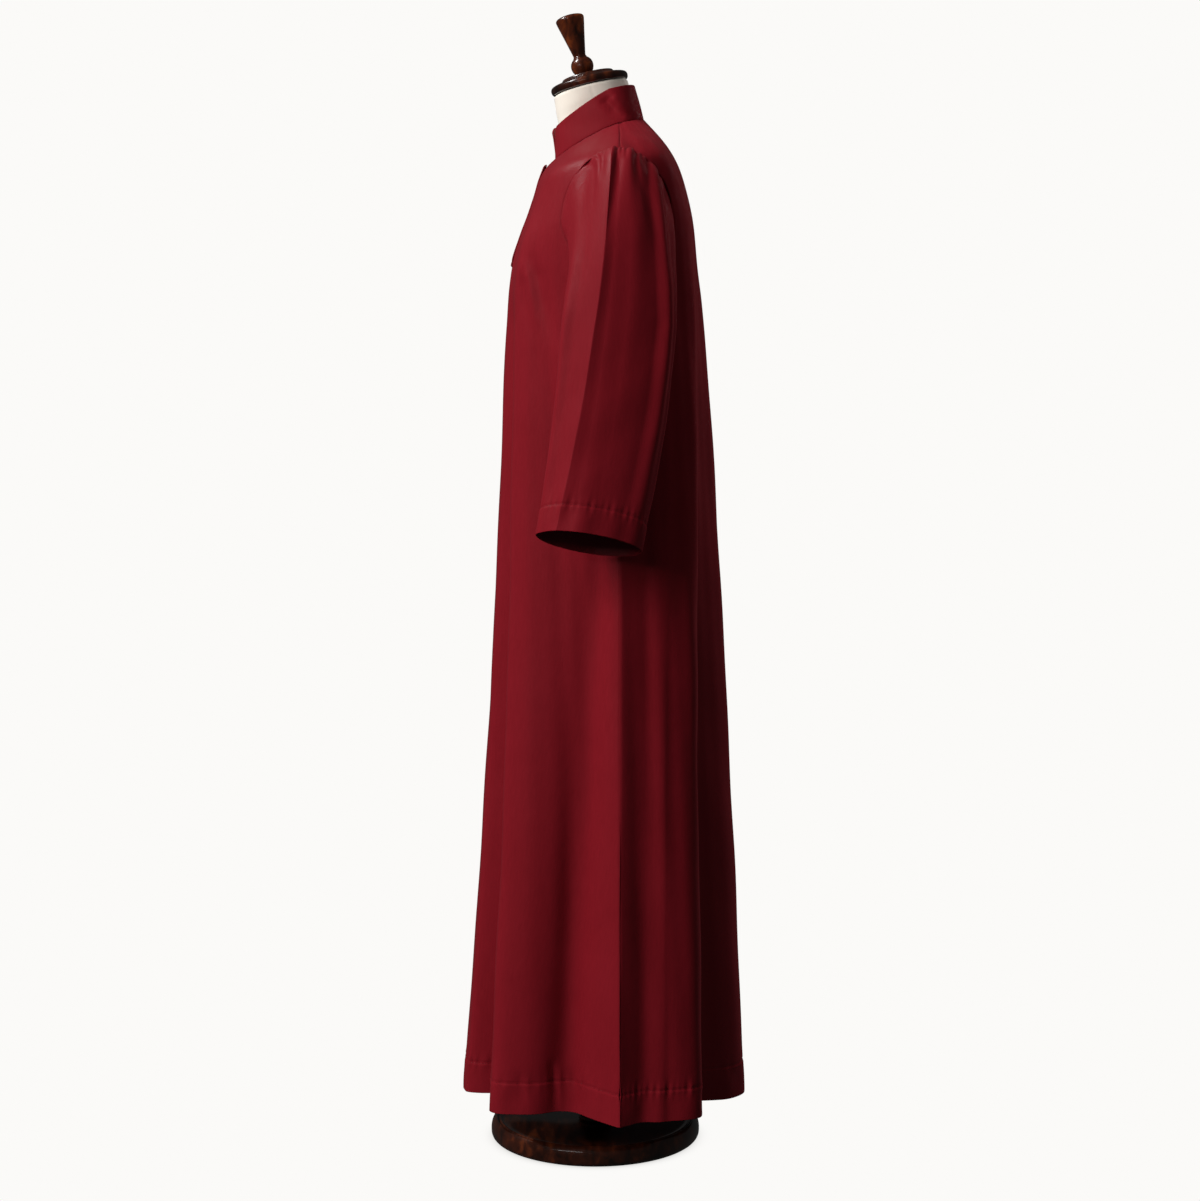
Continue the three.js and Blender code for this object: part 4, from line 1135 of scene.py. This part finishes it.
# %% Wood material
def make_wood(name, dark, brown, light):
    material = bpy.data.materials.new(name)
    material.use_nodes = True
    tree = material.node_tree
    tree.nodes.clear()
    place = add_node(tree, "ShaderNodeTexCoord").outputs["Object"]
    # The grain runs along X: streaks about 60 mm long and 11 to 17 mm wide, with finer ones in them.
    along = add_node(tree, "ShaderNodeMapping", {"Vector": place, "Scale": (16, 90, 60)}).outputs[0]
    streak = noise(tree, along, 1.0, 3.0, Roughness=0.45, Distortion=0.5)
    cloud = noise(tree, place, 15.0, 2.0)
    ramp = add_node(tree, "ShaderNodeValToRGB", {"Fac": product(tree, streak, cloud)})
    stops = ramp.color_ramp.elements
    stops[0].position, stops[0].color = 0.15, to_linear(dark)
    stops[1].position, stops[1].color = 0.43, to_linear(light)
    middle = stops.new(0.28)
    middle.color = to_linear(brown)
    shader = add_node(tree, "ShaderNodeBsdfPrincipled", {
        "Base Color": ramp.outputs[0], "Roughness": 0.34, "IOR": 1.45, "Coat Weight": 1.0,
        "Coat Roughness": 0.07, "Coat IOR": 1.5, "Normal": bump(tree, streak, 0.05, 0.0005)})
    add_node(tree, "ShaderNodeOutputMaterial", {"Surface": shader.outputs[0]})
    return material


# The foot, the pole and the cap take a darker copy of the same stained beech: its extra darkness is painted
# shade.
wood = make_wood("stained and lacquered beech", "#1c0905", "#4e1f0c", "#8c4217")
wood_with_painted_shade = make_wood("darker stained and lacquered beech", "#140704", "#33140a", "#5e2a12")


# %% Turned pieces
def sanded(profile, passes=2):
    """The profile with its corners cut back, and both ends kept."""
    points = [np.array(p, float) for p in profile]
    for _ in range(passes):
        cut = [points[0]]
        for a, b in zip(points[:-1], points[1:]):
            cut += [mix(a, b, 0.25), mix(a, b, 0.75)]
        points = cut + [points[-1]]
    return points


def turned_piece(name, profile, node, material, steps, y, height, lean):
    """Spins a profile of (radius, up) in mm, leans it to the front and stands it at y, height."""
    bm = bmesh.new()
    verts = [bm.verts.new((r / 1000, 0, z / 1000)) for r, z in sanded(profile)]
    edges = [bm.edges.new(pair) for pair in zip(verts[:-1], verts[1:])]
    bmesh.ops.spin(bm, geom=verts + edges, axis=(0, 0, 1), cent=(0, 0, 0), angle=math.tau,
                   steps=steps, use_merge=True)
    bmesh.ops.remove_doubles(bm, verts=bm.verts, dist=1e-6)
    bmesh.ops.recalc_face_normals(bm, faces=bm.faces)
    stand = Matrix.Translation((0, y / 1000, height / 1000)) @ Matrix.Rotation(math.radians(lean), 4, "X")
    bmesh.ops.transform(bm, matrix=stand, verts=bm.verts)
    piece = link_piece(name, mesh_from(bm, name), material)
    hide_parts(node)
    print(f"{name}: {len(piece.data.polygons)} faces")


FOOT = [(0, 0), (143, 0), (147, 1.2), (149.6, 5), (150, 10), (149.8, 16), (148.2, 22), (145, 26.6),
        (142.6, 28), (141.2, 27.6), (140.6, 25.4), (139.6, 25.2), (138.6, 27.2), (137, 27.6),
        (135.4, 26.6), (134, 24.4), (129, 23.2), (110, 22.5), (60, 22.1), (26, 22), (0, 22)]
POLE = [(0, 22), (24, 22), (24, 28), (22.5, 30.5), (17.5, 32), (16.5, 38), (15, 44), (15, 784),
        (16, 788), (22, 790), (24, 792), (24, 799.7), (0, 799.7)]
CAP = [(0, 0), (51, 0), (53.6, 1.5), (54.6, 5.5), (53.8, 9.2), (51, 11.2), (46, 12.2), (41, 13.4),
       (37.4, 15), (36, 16.2), (35.4, 17.6), (33.4, 18.2), (0, 18.2)]
FINIAL = [(0, 0), (9.5, 0), (10.5, 0.6), (12.6, 3.4), (15, 8), (15.9, 13), (15, 18), (12.4, 22),
          (9.4, 24.2), (9.4, 25.6), (8.4, 26.4), (8.7, 28.5), (10.6, 37), (13.3, 49), (16.1, 61),
          (18.3, 70), (19.7, 76.5), (19.9, 79), (18.6, 81.2), (15.5, 82.8), (8, 84.5), (0, 85)]
TURNED = [                             # last come the steps round it, then its y, height and lean
    ("stand_foot", FOOT, "stand_base", wood_with_painted_shade, 160, 0, 0, 0),
    ("stand_turned_pole", POLE, "stand_pole", wood_with_painted_shade, 48, 0, 0, 0),
    ("neck_cap_disc", CAP, "neck_cap", wood_with_painted_shade, 112, -6.5, 1489, 13.4),
    ("cap_finial", FINIAL, "finial", wood, 72, -14.4, 1506.0, 15.2),
]
for row in TURNED:
    turned_piece(*row)
